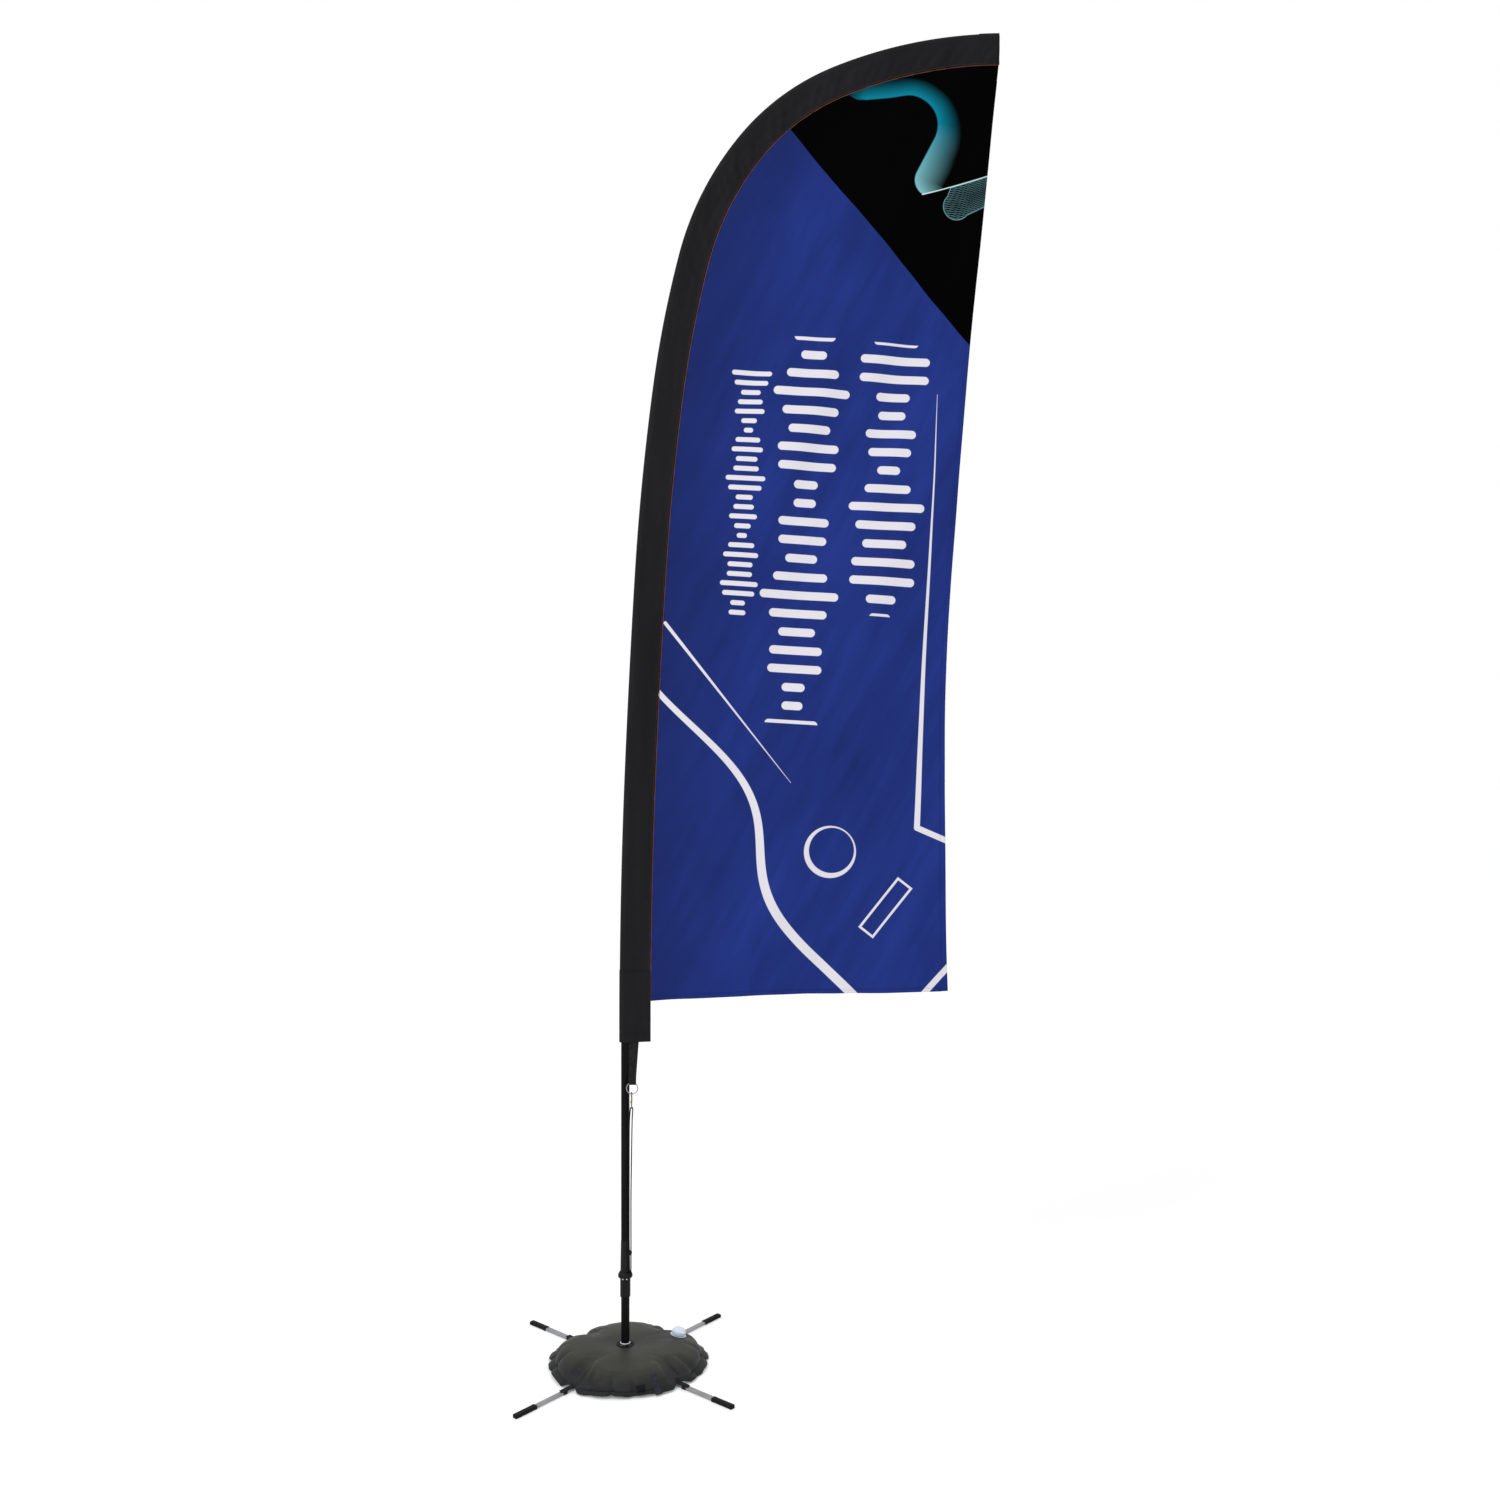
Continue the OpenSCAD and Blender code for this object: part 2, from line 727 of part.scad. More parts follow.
// A point of a Bezier curve with three or four control points
function bezier(c, t) = len(c) == 3
    ? (1 - t) * (1 - t) * c[0] + 2 * t * (1 - t) * c[1] + t * t * c[2]
    : pow(1 - t, 3) * c[0] + 3 * t * pow(1 - t, 2) * c[1] + 3 * t * t * (1 - t) * c[2]
        + pow(t, 3) * c[3];
free_corner = [840, 966];
tip_seam = sleeve_point(pole_end, sleeve_w);
foot_seam = sleeve_point(foot_s, sleeve_w);
// The free edge, from the tip down, and the bottom edge, from the free corner to the sleeve
free_edge = [for (i = [0 : 24]) bezier([tip_seam, [870, 2400], [800, 1805], free_corner], i / 24)];
bottom_edge = [for (i = [0 : 10]) bezier([free_corner, [305, 962], foot_seam], i / 10)];
seam_edge = [for (s = stations) if (s >= foot_s) sleeve_point(s, sleeve_w)];

module cloth(t) {
    rotate([90, 0, 0])
        linear_extrude(t, center = true)
        polygon(concat(seam_edge, [for (i = [1 : 24]) free_edge[i]],
            [for (i = [1 : 9]) bottom_edge[i]]));
}

// A strip of the hems' width along each free edge, reaching past the cloth's outline
module side_strip() {
    rotate([90, 0, 0])
        linear_extrude(8, center = true)
        polygon(concat(
            [free_edge[0] + [-hem_w, 20]], [for (p = free_edge) p - [hem_w, 0]],
            [free_corner - [hem_w, 20], free_corner + [20, -20]],
            [for (i = [24 : -1 : 0]) free_edge[i] + [20, 0]], [free_edge[0] + [20, 20]]));
}

module bottom_strip() {
    rotate([90, 0, 0])
        linear_extrude(8, center = true)
        polygon(concat(
            [bottom_edge[0] + [20, hem_w]], [for (p = bottom_edge) p + [0, hem_w]],
            [foot_seam + [-20, hem_w], foot_seam - [20, 20]],
            [for (i = [10 : -1 : 0]) bottom_edge[i] - [0, 20]], [bottom_edge[0] + [20, -20]]));
}

module sail_panel() {
    color([0.15, 0.21, 0.53])
    difference() {
        cloth(panel_t);
        side_strip();
        bottom_strip();
    }
}

module side_hem() {
    color([0.13, 0.18, 0.47])
    intersection() {
        cloth(panel_t + 0.8);
        side_strip();
    }
}

module bottom_hem() {
    color([0.13, 0.18, 0.47])
    difference() {
        intersection() {
            cloth(panel_t + 0.8);
            bottom_strip();
        }
        side_strip();
    }
}

// ---------- tension set ----------

module tension_strap() {
    fold_z = 745;
    loop_z = 726.7;
    color([0.08, 0.08, 0.08]) {
        hull() {
            translate([12.2, -3, mouth_z + 24]) cube([25, 1.2, 0.5]);
            translate([12.2, set_y - 0.6, fold_z]) cube([17, 1.2, 0.5]);
        }
        translate([12.2, set_y - 2.9, fold_z]) cube([17, 5.8, 4]);
        difference() {
            translate([12.2, set_y - 2.9, loop_z]) cube([17, 5.8, fold_z - loop_z]);
            translate([11, set_y - 1.7, loop_z + 1.2]) cube([20, 3.4, fold_z - loop_z - 1.2]);
        }
    }
}

module split_ring() {
    color([0.82, 0.82, 0.84])
    translate([ring_x, set_y, split_ring_z])
        rotate([90, 0, 0])
        rotate_extrude() translate([split_ring_r, 0]) circle(wire_r, $fn = 24);
}

// A wire bend in the hook's plane, round a centre at [y, z], from an angle over a span
module hook_bend(y, z, r, wire, from, span) {
    translate([hook_x, y, z])
        rotate([0, 0, 90])
        rotate([90, 0, 0])
        rotate([0, 0, from])
        rotate_extrude(angle = span) translate([r, 0]) circle(wire, $fn = 24);
}

module hook_rod(y, z0, z1, r) {
    translate([hook_x, y, z0]) cylinder(r = r, h = z1 - z0, $fn = 24);
}

module snap_hook() {
    front = set_y - hook_bend_r;
    back = set_y + hook_bend_r;
    color([0.78, 0.7, 0.5]) {
        hook_rod(back, hook_foot_z, hook_top_z, hook_wire_r);
        hook_bend(set_y, hook_top_z, hook_bend_r, hook_wire_r, 0, 180);
        hook_rod(front, hook_top_z - 3.8, hook_top_z, hook_wire_r);
        hook_bend(set_y, hook_foot_z, hook_bend_r, hook_wire_r, 180, 180);
        hook_rod(set_y, eye_z + 4.2, hook_foot_z - hook_bend_r + 0.5, hook_wire_r);
        hook_bend(set_y, eye_z, 4.2, wire_r, 0, 360);
        for (x = [-2.6, 2])
            translate([hook_x + x, front - 1.6, hook_foot_z - 1]) cube([0.6, 3.2, 4.4]);
        translate([hook_x - 2.3, front, gate_z - 2.6]) cube([4.6, 1.2, 0.7]);
        translate([hook_x - 2.3, front, gate_z]) rotate([0, 90, 0]) cylinder(r = 0.7, h = 4.6);
    }
}

module hook_gate() {
    front = set_y - hook_bend_r;
    color([0.78, 0.7, 0.5])
    difference() {
        union() {
            hook_rod(front, gate_z, hook_top_z - 4.2, 1.3);
            translate([hook_x - 1.6, front, gate_z])
                rotate([0, 90, 0]) cylinder(r = 1.6, h = 3.2);
        }
        translate([hook_x - 3, front, gate_z])
            rotate([0, 90, 0]) cylinder(r = 0.7 + pin_clearance, h = 6);
    }
}

// The cord's route: up from the flange, over the eye of the hook, and back down
cord_route = [
    [10.5, -12.9, 229], [10.5, -12.9, 241], [strand_x[0], cord_y, 253],
    [strand_x[0], cord_y, 430], [11.2, -12.7, 560], [11.6, -13, 620], [12.6, -13.3, 645],
    [13.9, -13.5, 659], [14.4, -13.5, 665.5], [14.6, -13.5, 667.3], [15.5, -13.5, 669.2],
    [17.5, -13.5, 670.2], [19.5, -13.5, 669.2], [20.4, -13.5, 667.3], [20.6, -13.5, 665.5],
    [20.4, -13.5, 659], [19.4, -13.3, 645],
    [18.6, -13, 620], [17.6, -12.8, 560], [strand_x[1], cord_y, 430],
    [strand_x[1], cord_y, 253], [14.6, -8, 240], [14.6, -8, 229]];

function unit(v) = v / norm(v);
// An outline of eight points round the route's point i, square to the way the route runs there
function cord_ring(i) =
    let (a = cord_route[max(i - 1, 0)], b = cord_route[min(i + 1, len(cord_route) - 1)],
        t = unit(b - a), side = unit(cross(t, [0, 1, 0])), up = cross(side, t))
    [for (k = [0 : 7]) cord_route[i] + cord_d / 2 * (cos(45 * k) * side + sin(45 * k) * up)];

module tension_cord() {
    color([0.07, 0.07, 0.07]) loft([for (i = [0 : len(cord_route) - 1]) cord_ring(i)]);
}

lock_x = (strand_x[0] + strand_x[1]) / 2;

module lock_barrel() {
    color([0.05, 0.05, 0.05])
    translate([lock_x, cord_y, lock_z])
        difference() {
            rotate([90, 0, 0]) translate([0, 0, -2.8]) cylinder(r = lock_r, h = 9.3);
            for (x = strand_x)
                translate([x - lock_x, 0, -10]) cylinder(r = cord_d / 2 + gap, h = 20);
            rotate([90, 0, 0]) translate([0, 0, 2.6]) cylinder(r = 3.6, h = 10);
        }
}

module lock_button() {
    color([0.09, 0.09, 0.09])
    translate([lock_x, cord_y, lock_z])
        rotate([90, 0, 0]) {
            translate([0, 0, 5.4]) cylinder(r = 3.2, h = 3.4);
            translate([0, 0, 8.8]) cylinder(r1 = 3.2, r2 = 2.4, h = 0.8);
        }
}

lower_leg_bar();
lower_leg_sleeves();
lower_leg_bands();
centre_pad();
pivot_bolt();
pivot_washer();
bearing_housing();
bearing_outer_races();
bearing_spacer();
bearing_circlip();
weight_bag();
bag_welt();
bag_tabs();
bag_grommet();
filler_neck();
carry_patch();
carry_buckle();
upper_leg_bar();
upper_leg_sleeves();
upper_leg_bands();
cap_gasket();
filler_cap();
spindle();
spindle_ring();
bearing_inner_races();
bearing_balls();
bearing_cages();
spindle_screw();
pole_section_1();
pole_section_2();
pole_section_3();
pole_section_4();
ferrule_1();
ferrule_2();
ferrule_3();
pole_tip_cap();
pole_grip();
collar();
cord_flange();
flange_screws();
sleeve();
sleeve_cuff();
tip_pocket();
sail_panel();
side_hem();
bottom_hem();
tension_strap();
split_ring();
snap_hook();
tension_cord();
hook_gate();
lock_barrel();
lock_button();
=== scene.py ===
"""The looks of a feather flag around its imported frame.

Metres, +Z up. The sail lies in the XZ plane and flies towards +X, and +Y points away from the camera.
Lengths along the pole are counted from where it starts to bend; u is the distance inwards from the
sleeve's outer edge.
"""
import json
from functools import partialmethod
from math import atan2, comb, cos, degrees, exp, hypot, pi, radians, sin, sqrt, tan

import bmesh
import bpy
import numpy as np
from mathutils import Matrix, Vector, noise
from mathutils.bvhtree import BVHTree


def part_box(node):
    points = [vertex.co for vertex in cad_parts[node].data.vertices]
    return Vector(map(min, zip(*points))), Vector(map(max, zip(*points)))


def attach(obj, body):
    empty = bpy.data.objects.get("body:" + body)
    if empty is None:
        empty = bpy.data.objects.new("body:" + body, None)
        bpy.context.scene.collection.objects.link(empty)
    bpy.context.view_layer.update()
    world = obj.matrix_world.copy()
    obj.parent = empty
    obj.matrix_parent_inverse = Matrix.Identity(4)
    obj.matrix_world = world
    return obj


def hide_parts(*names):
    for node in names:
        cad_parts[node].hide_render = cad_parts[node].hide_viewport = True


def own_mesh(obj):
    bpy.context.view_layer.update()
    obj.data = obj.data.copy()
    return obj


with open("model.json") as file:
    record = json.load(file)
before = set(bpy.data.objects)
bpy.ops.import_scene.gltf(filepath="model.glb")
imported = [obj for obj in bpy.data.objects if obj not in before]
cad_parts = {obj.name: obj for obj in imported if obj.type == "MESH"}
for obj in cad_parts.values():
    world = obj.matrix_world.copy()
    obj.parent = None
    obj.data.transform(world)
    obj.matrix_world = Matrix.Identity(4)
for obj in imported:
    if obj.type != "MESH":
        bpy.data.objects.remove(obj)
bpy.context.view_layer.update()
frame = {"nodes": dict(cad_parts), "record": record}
nodes = frame["nodes"]

# ---------- sizes ----------

# Pole: each stretch above BEND_Z has a length and a bend, in degrees towards +X
BEND_Z = 0.900
STRETCHES = [(0.640, 2.4), (0.500, 1.0), (0.500, 4.2), (0.350, 7.0), (0.345, 25.2), (0.295, 28.1),
             (0.435, 21.4)]
POLE_END = sum(length for length, bend in STRETCHES)

# Sleeve: its width, how far in the pole's axis runs, half its thickness at its mouth and tip, its cloth,
# and where its mouth and its cuff's upper end lie along the pole; the length of its tip pocket
SLEEVE_W = 0.080
SLEEVE_EDGE = 0.015
BULGE_MOUTH = 0.0134
BULGE_TIP = 0.008
CLOTH_T = 0.0006
MOUTH_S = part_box("sleeve")[0].z - BEND_Z
CUFF_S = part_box("sleeve_cuff")[1].z - BEND_Z
POCKET_L = 0.050

# Sail: where its foot meets the sleeve, its free lower corner, the points that pull its free edge and
# its bottom edge into curves, the width of its hems, and its cloth
FOOT_S = 0.943 - BEND_Z
FREE_CORNER = (0.840, 0.966)
FREE_PULL = [(0.870, 2.400), (0.800, 1.805)]
BOTTOM_PULL = (0.305, 0.962)
HEM_W = 0.012
PANEL_T = 0.0005

# Base: the leg ends and bars, the height of the bars' middle, and the bag's outline
FOOT_REACH = 0.370
END_SLEEVE_L = 0.065
END_SLEEVE_W = 0.015
LEG_DIRS = [50, 230, -40, 140]
BAR_W = 0.012
BAR_H = 0.006
BAR_Z = 0.0045
BAG_R = 0.192
BAG_RIM_Z = 0.012
BAG_TOP_Z = 0.054


# ---------- small helpers ----------

def srgb(r, g, b):
    """A colour given in 0 to 255 steps of a screen, as the linear numbers that shaders take."""
    return tuple((c / 255 / 12.92) if c <= 10 else ((c / 255 + 0.055) / 1.055) ** 2.4 for c in (r, g, b))


def smooth(x, low, high):
    """0 below low, 1 above high, and a smooth rise between them. low may be above high."""
    t = min(1.0, max(0.0, (x - low) / (high - low)))
    return t * t * (3 - 2 * t)


def link(obj):
    bpy.context.scene.collection.objects.link(obj)
    return obj


def mesh_piece(name, verts, faces):
    """A smooth-shaded object of points and faces."""
    mesh = bpy.data.meshes.new(name)
    mesh.from_pydata([tuple(map(float, v)) for v in verts], [], faces)
    mesh.validate()
    mesh.polygons.foreach_set("use_smooth", [True] * len(mesh.polygons))
    mesh.update()
    return link(bpy.data.objects.new(name, mesh))


def grid_faces(rows, cols, wraps=0):
    """Quads over a grid of points numbered row by row: wraps is 1 where each row is a closed loop,
    and 2 where the columns are closed too."""
    return [(r * cols + c, r * cols + (c + 1) % cols,
             (r + 1) % rows * cols + (c + 1) % cols, (r + 1) % rows * cols + c)
            for r in range(rows if wraps > 1 else rows - 1)
            for c in range(cols if wraps else cols - 1)]


def round_turn(sides):
    """Angles spread evenly round a circle."""
    return [2 * pi * k / sides for k in range(sides)]


def tube_faces(rows, cols):
    """Quads over rings of points, with a face that closes each end."""
    ends = [tuple(range(cols - 1, -1, -1)), tuple(range((rows - 1) * cols, rows * cols))]
    return grid_faces(rows, cols, wraps=1) + ends


def solidify(obj, thickness, offset=0.0):
    """Gives a single layer its thickness: offset -1 grows it inwards, 0 to both sides."""
    mod = obj.modifiers.new("thickness", "SOLIDIFY")
    mod.thickness = thickness
    mod.offset = offset
    mod.use_even_offset = True


def round_off(obj, levels):
    mod = obj.modifiers.new("round", "SUBSURF")
    mod.levels = mod.render_levels = levels


def apply_modifiers(obj):
    """Makes what an object's modifiers show its own mesh."""
    bpy.context.view_layer.update()
    graph = bpy.context.evaluated_depsgraph_get()
    mesh = bpy.data.meshes.new_from_object(obj.evaluated_get(graph))
    obj.modifiers.clear()
    old = obj.data
    obj.data = mesh
    bpy.data.meshes.remove(old)


def face_out(obj):
    """Turns a closed mesh's faces outwards."""
    bm = bmesh.new()
    bm.from_mesh(obj.data)
    bmesh.ops.recalc_face_normals(bm, faces=bm.faces)
    bm.to_mesh(obj.data)
    bm.free()
    return obj


def place(obj, body, slot, *replaced, finish=None):
    """Hangs a piece on the body it rides on, hides the CAD nodes it stands for, and gives it its finish,
    which is its slot's own unless another is named."""
    obj.data.materials.clear()
    obj.data.materials.append(finish or FINISHES[slot])
    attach(obj, body)
    if replaced:
        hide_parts(*replaced)
    return obj


def joined(parts):
    """One list of points and one of faces from several (points, faces)."""
    verts, faces = [], []
    for v, f in parts:
        base = len(verts)
        verts.extend(v)
        faces.extend([tuple(base + i for i in face) for face in f])
    return verts, faces


# A stitch, a flat bar that bulges outwards: its points as (share of its length, side, height), and faces
STITCH = [(0, 0, -0.4), (0.22, 1, 1), (0.22, -1, 1), (0.78, 1, 1), (0.78, -1, 1), (1, 0, -0.4),
          (0.5, 1, -0.2), (0.5, -1, -0.2)]
STITCH_FACES = [(0, 2, 1), (1, 2, 4, 3), (3, 4, 5), (0, 1, 6), (1, 3, 6), (3, 5, 6),
                (0, 7, 2), (2, 7, 4), (4, 7, 5), (0, 6, 7), (6, 5, 7)]
STITCH_W = 0.0007
STITCH_H = 0.0005


def stitch(start, end, out):
    """One thread stitch between two points on a cloth that faces out."""
    start, n = Vector(start), Vector(out)
    along = Vector(end) - start
    side = along.normalized().cross(n).normalized() * STITCH_W / 2
    return [start + along * t + side * w + n * h * STITCH_H for t, w, h in STITCH], STITCH_FACES


def stitch_line(points, out, length=0.0032, pitch=0.0045):
    """Stitches at an even pitch along a line of points on a cloth that faces out."""
    points = np.asarray(points, float)
    steps = np.linalg.norm(np.diff(points, axis=0), axis=1)
    travelled = np.concatenate([[0], np.cumsum(steps)])

    def at(d):
        return [np.interp(d, travelled, points[:, k]) for k in range(3)]

    return [stitch(at(i * pitch), at(i * pitch + length), out) for i in range(int(travelled[-1] / pitch))]


def sewn(name, body, slot, lines, *pitch, finish=None):
    """A piece of stitches along lines, each given as (points, outward direction)."""
    parts = [part for points, out in lines for part in stitch_line(points, out, *pitch)]
    return place(mesh_piece(name, *joined(parts)), body, slot, finish=finish)


def wander(*at):
    """Smooth noise from about -1 to 1 at a point in space."""
    return noise.noise(Vector(at))


# ---------- the pole's path, as in the CAD source ----------

def inward(heading):
    """[x, z] square to the pole, towards the inside of its bend."""
    return np.array([cos(heading), -sin(heading)])


class Path:
    """The pole's axis in the XZ plane: arcs that follow each other smoothly."""

    def __init__(self):
        start, heading, point = 0.0, 0.0, np.array([0.0, BEND_Z])
        self.arcs = []
        for length, bend in STRETCHES:
            radius = length / radians(bend)
            self.arcs.append((start, heading, point, radius))
            point = point + radius * (inward(heading) - inward(heading + radians(bend)))
            start, heading = start + length, heading + radians(bend)

    def arc(self, s):
        """Start, heading, first point and radius of the stretch that s lies in."""
        return next((arc for arc in reversed(self.arcs) if arc[0] <= s), self.arcs[0])

    def heading(self, s):
        start, heading, _, radius = self.arc(s)
        return heading + max(0.0, s - start) / radius

    def curvature(self, s):
        """Bend per metre, smoothed over the joints of the stretches."""
        near = [s + d for d in (-0.09, -0.045, 0, 0.045, 0.09)]
        return sum(0 if x <= 0 else 1 / self.arc(x)[3] for x in near) / len(near)

    def axis(self, s):
        _, heading, point, radius = self.arc(s)
        return point + radius * (inward(heading) - inward(self.heading(s))) + (0.0, min(s, 0.0))

    def sleeve(self, s, u):
        """[x, z] at a distance u inwards from the sleeve's outer edge."""
        return self.axis(s) + (u - SLEEVE_EDGE) * inward(self.heading(s))


path = Path()


# ---------- materials ----------

def add_node(tree, kind, inputs, output=0, **settings):
    """An output of a new shader node. Each input is a value, a socket or a Field."""
    node = tree.nodes.new("ShaderNode" + kind)
    for name, value in settings.items():
        setattr(node, name, value)
    for key, value in inputs.items():
        value = getattr(value, "socket", value)
        if isinstance(value, bpy.types.NodeSocket):
            tree.links.new(value, node.inputs[key])
        else:
            node.inputs[key].default_value = value
    return node.outputs[output]


class Field:
    """A number at each point of a surface, as a socket of a material's node tree."""

    def __init__(self, tree, socket):
        self.tree, self.socket = tree, socket

    def math(self, kind, *others, clamp=False):
        inputs = dict(enumerate((self, *others)))
        return Field(self.tree, add_node(self.tree, "Math", inputs, operation=kind, use_clamp=clamp))

    __add__ = __radd__ = partialmethod(math, "ADD")
    __sub__ = partialmethod(math, "SUBTRACT")
    __mul__ = __rmul__ = partialmethod(math, "MULTIPLY")
    __truediv__ = partialmethod(math, "DIVIDE")
    least = partialmethod(math, "MINIMUM")
    most = partialmethod(math, "MAXIMUM")
    size = partialmethod(math, "ABSOLUTE")
    root = partialmethod(math, "SQRT")
    clamp = partialmethod(math, "ADD", 0.0, clamp=True)

    def __rsub__(self, other):
        return (self * -1.0) + other

    def wave(self, wavelength, phase=0.0):
        """A sine of this number, from -1 to 1."""
        return (self * (2 * pi / wavelength) + phase).math("SINE")

    def rise(self, low, high):
        """0 below low and 1 above high; falls instead where low is above high."""
        return ((self - low) * (1 / (high - low))).clamp()


class Finish:
    """One material: its Principled shader, and helpers that hang detail on it. Colours are given in
    0 to 255 steps of a screen."""

    def __init__(self, name, color, roughness, metallic=0.0, gloss=0.5, sheen=0.0):
        self.material = bpy.data.materials.new(name)
        self.material.use_nodes = True
        self.tree = self.material.node_tree
        self.shader = self.tree.nodes["Principled BSDF"]
        self.base = srgb(*color)
        self.set("Base Color", (*self.base, 1.0))
        self.set("Roughness", roughness)
        self.set("Metallic", metallic)
        self.set("Specular IOR Level", gloss)
        if sheen:
            self.set("Sheen Weight", sheen)
            self.set("Sheen Roughness", 0.4)
        self.coords = add_node(self.tree, "TexCoord", {}, "Object")
        self.x, self.y, self.z = (self.field("SeparateXYZ", {0: self.coords}, axis) for axis in range(3))
        self.last_bump = None

    def set(self, socket, value):
        self.shader.inputs[socket].default_value = value

    def drive(self, socket, source):
        self.tree.links.new(source, self.shader.inputs[socket])

    def field(self, kind, inputs, output=0):
        return Field(self.tree, add_node(self.tree, kind, inputs, output))

    def noise(self, scale, detail=3.0, stretch=(1, 1, 1), turn=0):
        """Noise around 0.5, scale features a metre, finer along an axis with a larger stretch, and
        turned about Y by degrees."""
        place_in = add_node(self.tree, "Mapping", {
            "Scale": [1 / k for k in stretch], "Rotation": (0, radians(turn), 0),
            "Vector": self.coords}, vector_type="TEXTURE")
        return self.field("TexNoise", {"Scale": scale, "Detail": detail, "Roughness": 0.55,
                                       "Vector": place_in})

    def cells(self, scale):
        """Distance to the nearest of scattered points, scale cells a metre."""
        return self.field("TexVoronoi", {"Scale": scale, "Vector": self.coords}, "Distance")

    def curve(self, field, points):
        """A number read off a smooth line through (field's value, number) points, all from 0 to 4."""
        value = self.field("FloatCurve", {"Value": field * 0.25})
        mapping = value.socket.node.mapping
        line = mapping.curves[0]
        while len(line.points) < len(points):
            line.points.new(0.5, 0.5)
        for point, (at, number) in zip(line.points, points):
            point.location = (at / 4, number / 4)
        mapping.update()
        return value * 4.0

    def mix(self, amount, first, second):
        """A colour that goes from first to second as amount goes from 0 to 1. Each is a tuple in screen
        steps, a list of linear numbers or a socket."""
        ends = [(*srgb(*c), 1.0) if isinstance(c, tuple) else c for c in (first, second)]
        return add_node(self.tree, "Mix", {0: amount, 6: ends[0], 7: ends[1]}, 2, data_type="RGBA")

    def color(self, socket):
        self.drive("Base Color", socket)

    def roughness(self, field):
        self.drive("Roughness", field.socket)

    def bump(self, height, depth, strength=1.0):
        """Relief from a height of 0 to 1 and its depth in metres; each call adds to the last."""
        inputs = {"Distance": depth, "Strength": strength, "Height": height}
        if self.last_bump:
            inputs["Normal"] = self.last_bump
        self.last_bump = add_node(self.tree, "Bump", inputs)
        self.drive("Normal", self.last_bump)

    def mottled(self, field, darker, lighter):
        """Base colour that wanders between two brightnesses with a field from 0 to 1."""
        dark = [c * darker for c in self.base] + [1.0]
        light = [min(1, c * lighter) for c in self.base] + [1.0]
        self.color(self.mix(field.rise(0.3, 0.7), dark, light))


def metal(name, color, roughness):
    """Metal with fine uneven polish."""
    f = Finish(name, color, roughness, metallic=1.0)
    polish = f.noise(260, 4)
    f.roughness(polish * 0.22 + (roughness - 0.11))
    f.mottled(f.noise(30, 2), 0.86, 1.05)
    f.bump(polish, 0.00003, 0.6)
    return f.material


def moulded(name, color, roughness, grain=900, depth=0.00004, wear=(0.8, 1.35), gloss=0.5):
    """Moulded plastic or rubber with a fine grain and faint scuffs, as bright as wear says."""
    f = Finish(name, color, roughness, gloss=gloss)
    scuffs = f.noise(70, 5, (1, 1, 0.35))
    f.mottled(scuffs, *wear)
    f.roughness(scuffs * 0.25 + (roughness - 0.12))
    f.bump(f.cells(grain), depth, 0.5)
    return f.material


def weave(across, along, pitch_across, pitch_along):
    """Height, from 0 to 1, of threads that cross at these pitches in metres."""
    return across.wave(pitch_across) * along.wave(pitch_along) * 0.5 + 0.5


def webbing(name, color):
    """Woven strap: ribs across its length and a fine thread pattern in them."""
    f = Finish(name, color, 0.78, gloss=0.12, sheen=0.03)
    ribs = weave(f.z, f.x, 0.0016, 0.0016 * 0.7)
    f.mottled(f.noise(160, 4), 0.7, 1.6)
    f.bump(ribs, 0.00025, 0.7)
    return f.material


def canvas():
    """The sleeve's black polyester: twill lines, fine slubs, painted lighter sheen streaks along it and a
    soft sheen.
    """
    f = Finish("sleeve_canvas", (22, 21, 23), 0.66, gloss=0.09, sheen=0.03)
    twill = weave(f.x * 0.7 + f.z, f.x - f.z * 0.4, 0.0011, 0.0016)
    slubs = f.noise(420, 3, (1, 1, 0.12))
    # Painted sheen: broad lighter streaks along the sleeve, mixed with the real slubs
    painted_sheen_streaks = f.noise(5, 3, (2.2, 1, 0.5))
    f.mottled(painted_sheen_streaks * 0.7 + slubs * 0.3, 0.65, 1.3)
    f.bump(twill, 0.00012, 0.5)
    f.bump(slubs, 0.0003, 0.5)
    return f.material


def coated_cloth():
    """The bag's coated fabric: brownish on its crown, and a darker bluish copy down its sides as painted
    shade and painted reflection.
    """
    f = Finish("coated_bag_cloth", (46, 45, 41), 0.5, gloss=0.16)
    spots = f.noise(9, 4).rise(0.3, 0.7)
    crown = f.mix(spots, (42, 42, 37), (52, 52, 46))
    side = f.mix(spots, (29, 29, 31), (37, 38, 40))
    # Painted shade and painted reflection: below the crown the sides take the darker bluish copy
    f.color(f.mix(f.z.rise(0.047, 0.030), crown, side))
    f.bump(weave(f.x, f.y, 0.0012, 0.0012), 0.00012, 0.35)
    f.bump(f.noise(120, 4), 0.0006, 0.35)
    return f.material


def composite():
    """The pole's black tube: fine lines along it."""
    f = Finish("pole_composite", (14, 13, 14), 0.45, gloss=0.05)
    lines = f.noise(240, 4, (1, 1, 0.03))
    f.mottled(lines, 0.7, 1.5)
    f.bump(lines, 0.00008, 0.5)
    return f.material


# ---------- the print on the sail ----------

def dist(x, z, point):
    """Distance to a point [x, z]."""
    dx, dz = x - point[0], z - point[1]
    return (dx * dx + dz * dz).root()


def where(test, first, second):
    """first where test is negative, and second elsewhere."""
    return first + (second - first) * test.math("GREATER_THAN", 0.0)


def bar(x, z, a, b, width_a, width_b):
    """Distance outside a straight bar with round ends from a to b, negative inside it."""
    dx, dz = b[0] - a[0], b[1] - a[1]
    px, pz = x - a[0], z - a[1]
    t = ((px * dx + pz * dz) * (1 / (dx * dx + dz * dz))).clamp()
    ex, ez = px - t * dx, pz - t * dz
    return (ex * ex + ez * ez).root() - (t * ((width_b - width_a) / 2) + width_a / 2)


def turned(x, z, centre, degrees):
    """Coordinates along and across a direction, counted from a centre. 0 degrees is along +Z."""
    a = radians(degrees)
    px, pz = x - centre[0], z - centre[1]
    return px * sin(a) + pz * cos(a), px * cos(a) - pz * sin(a)


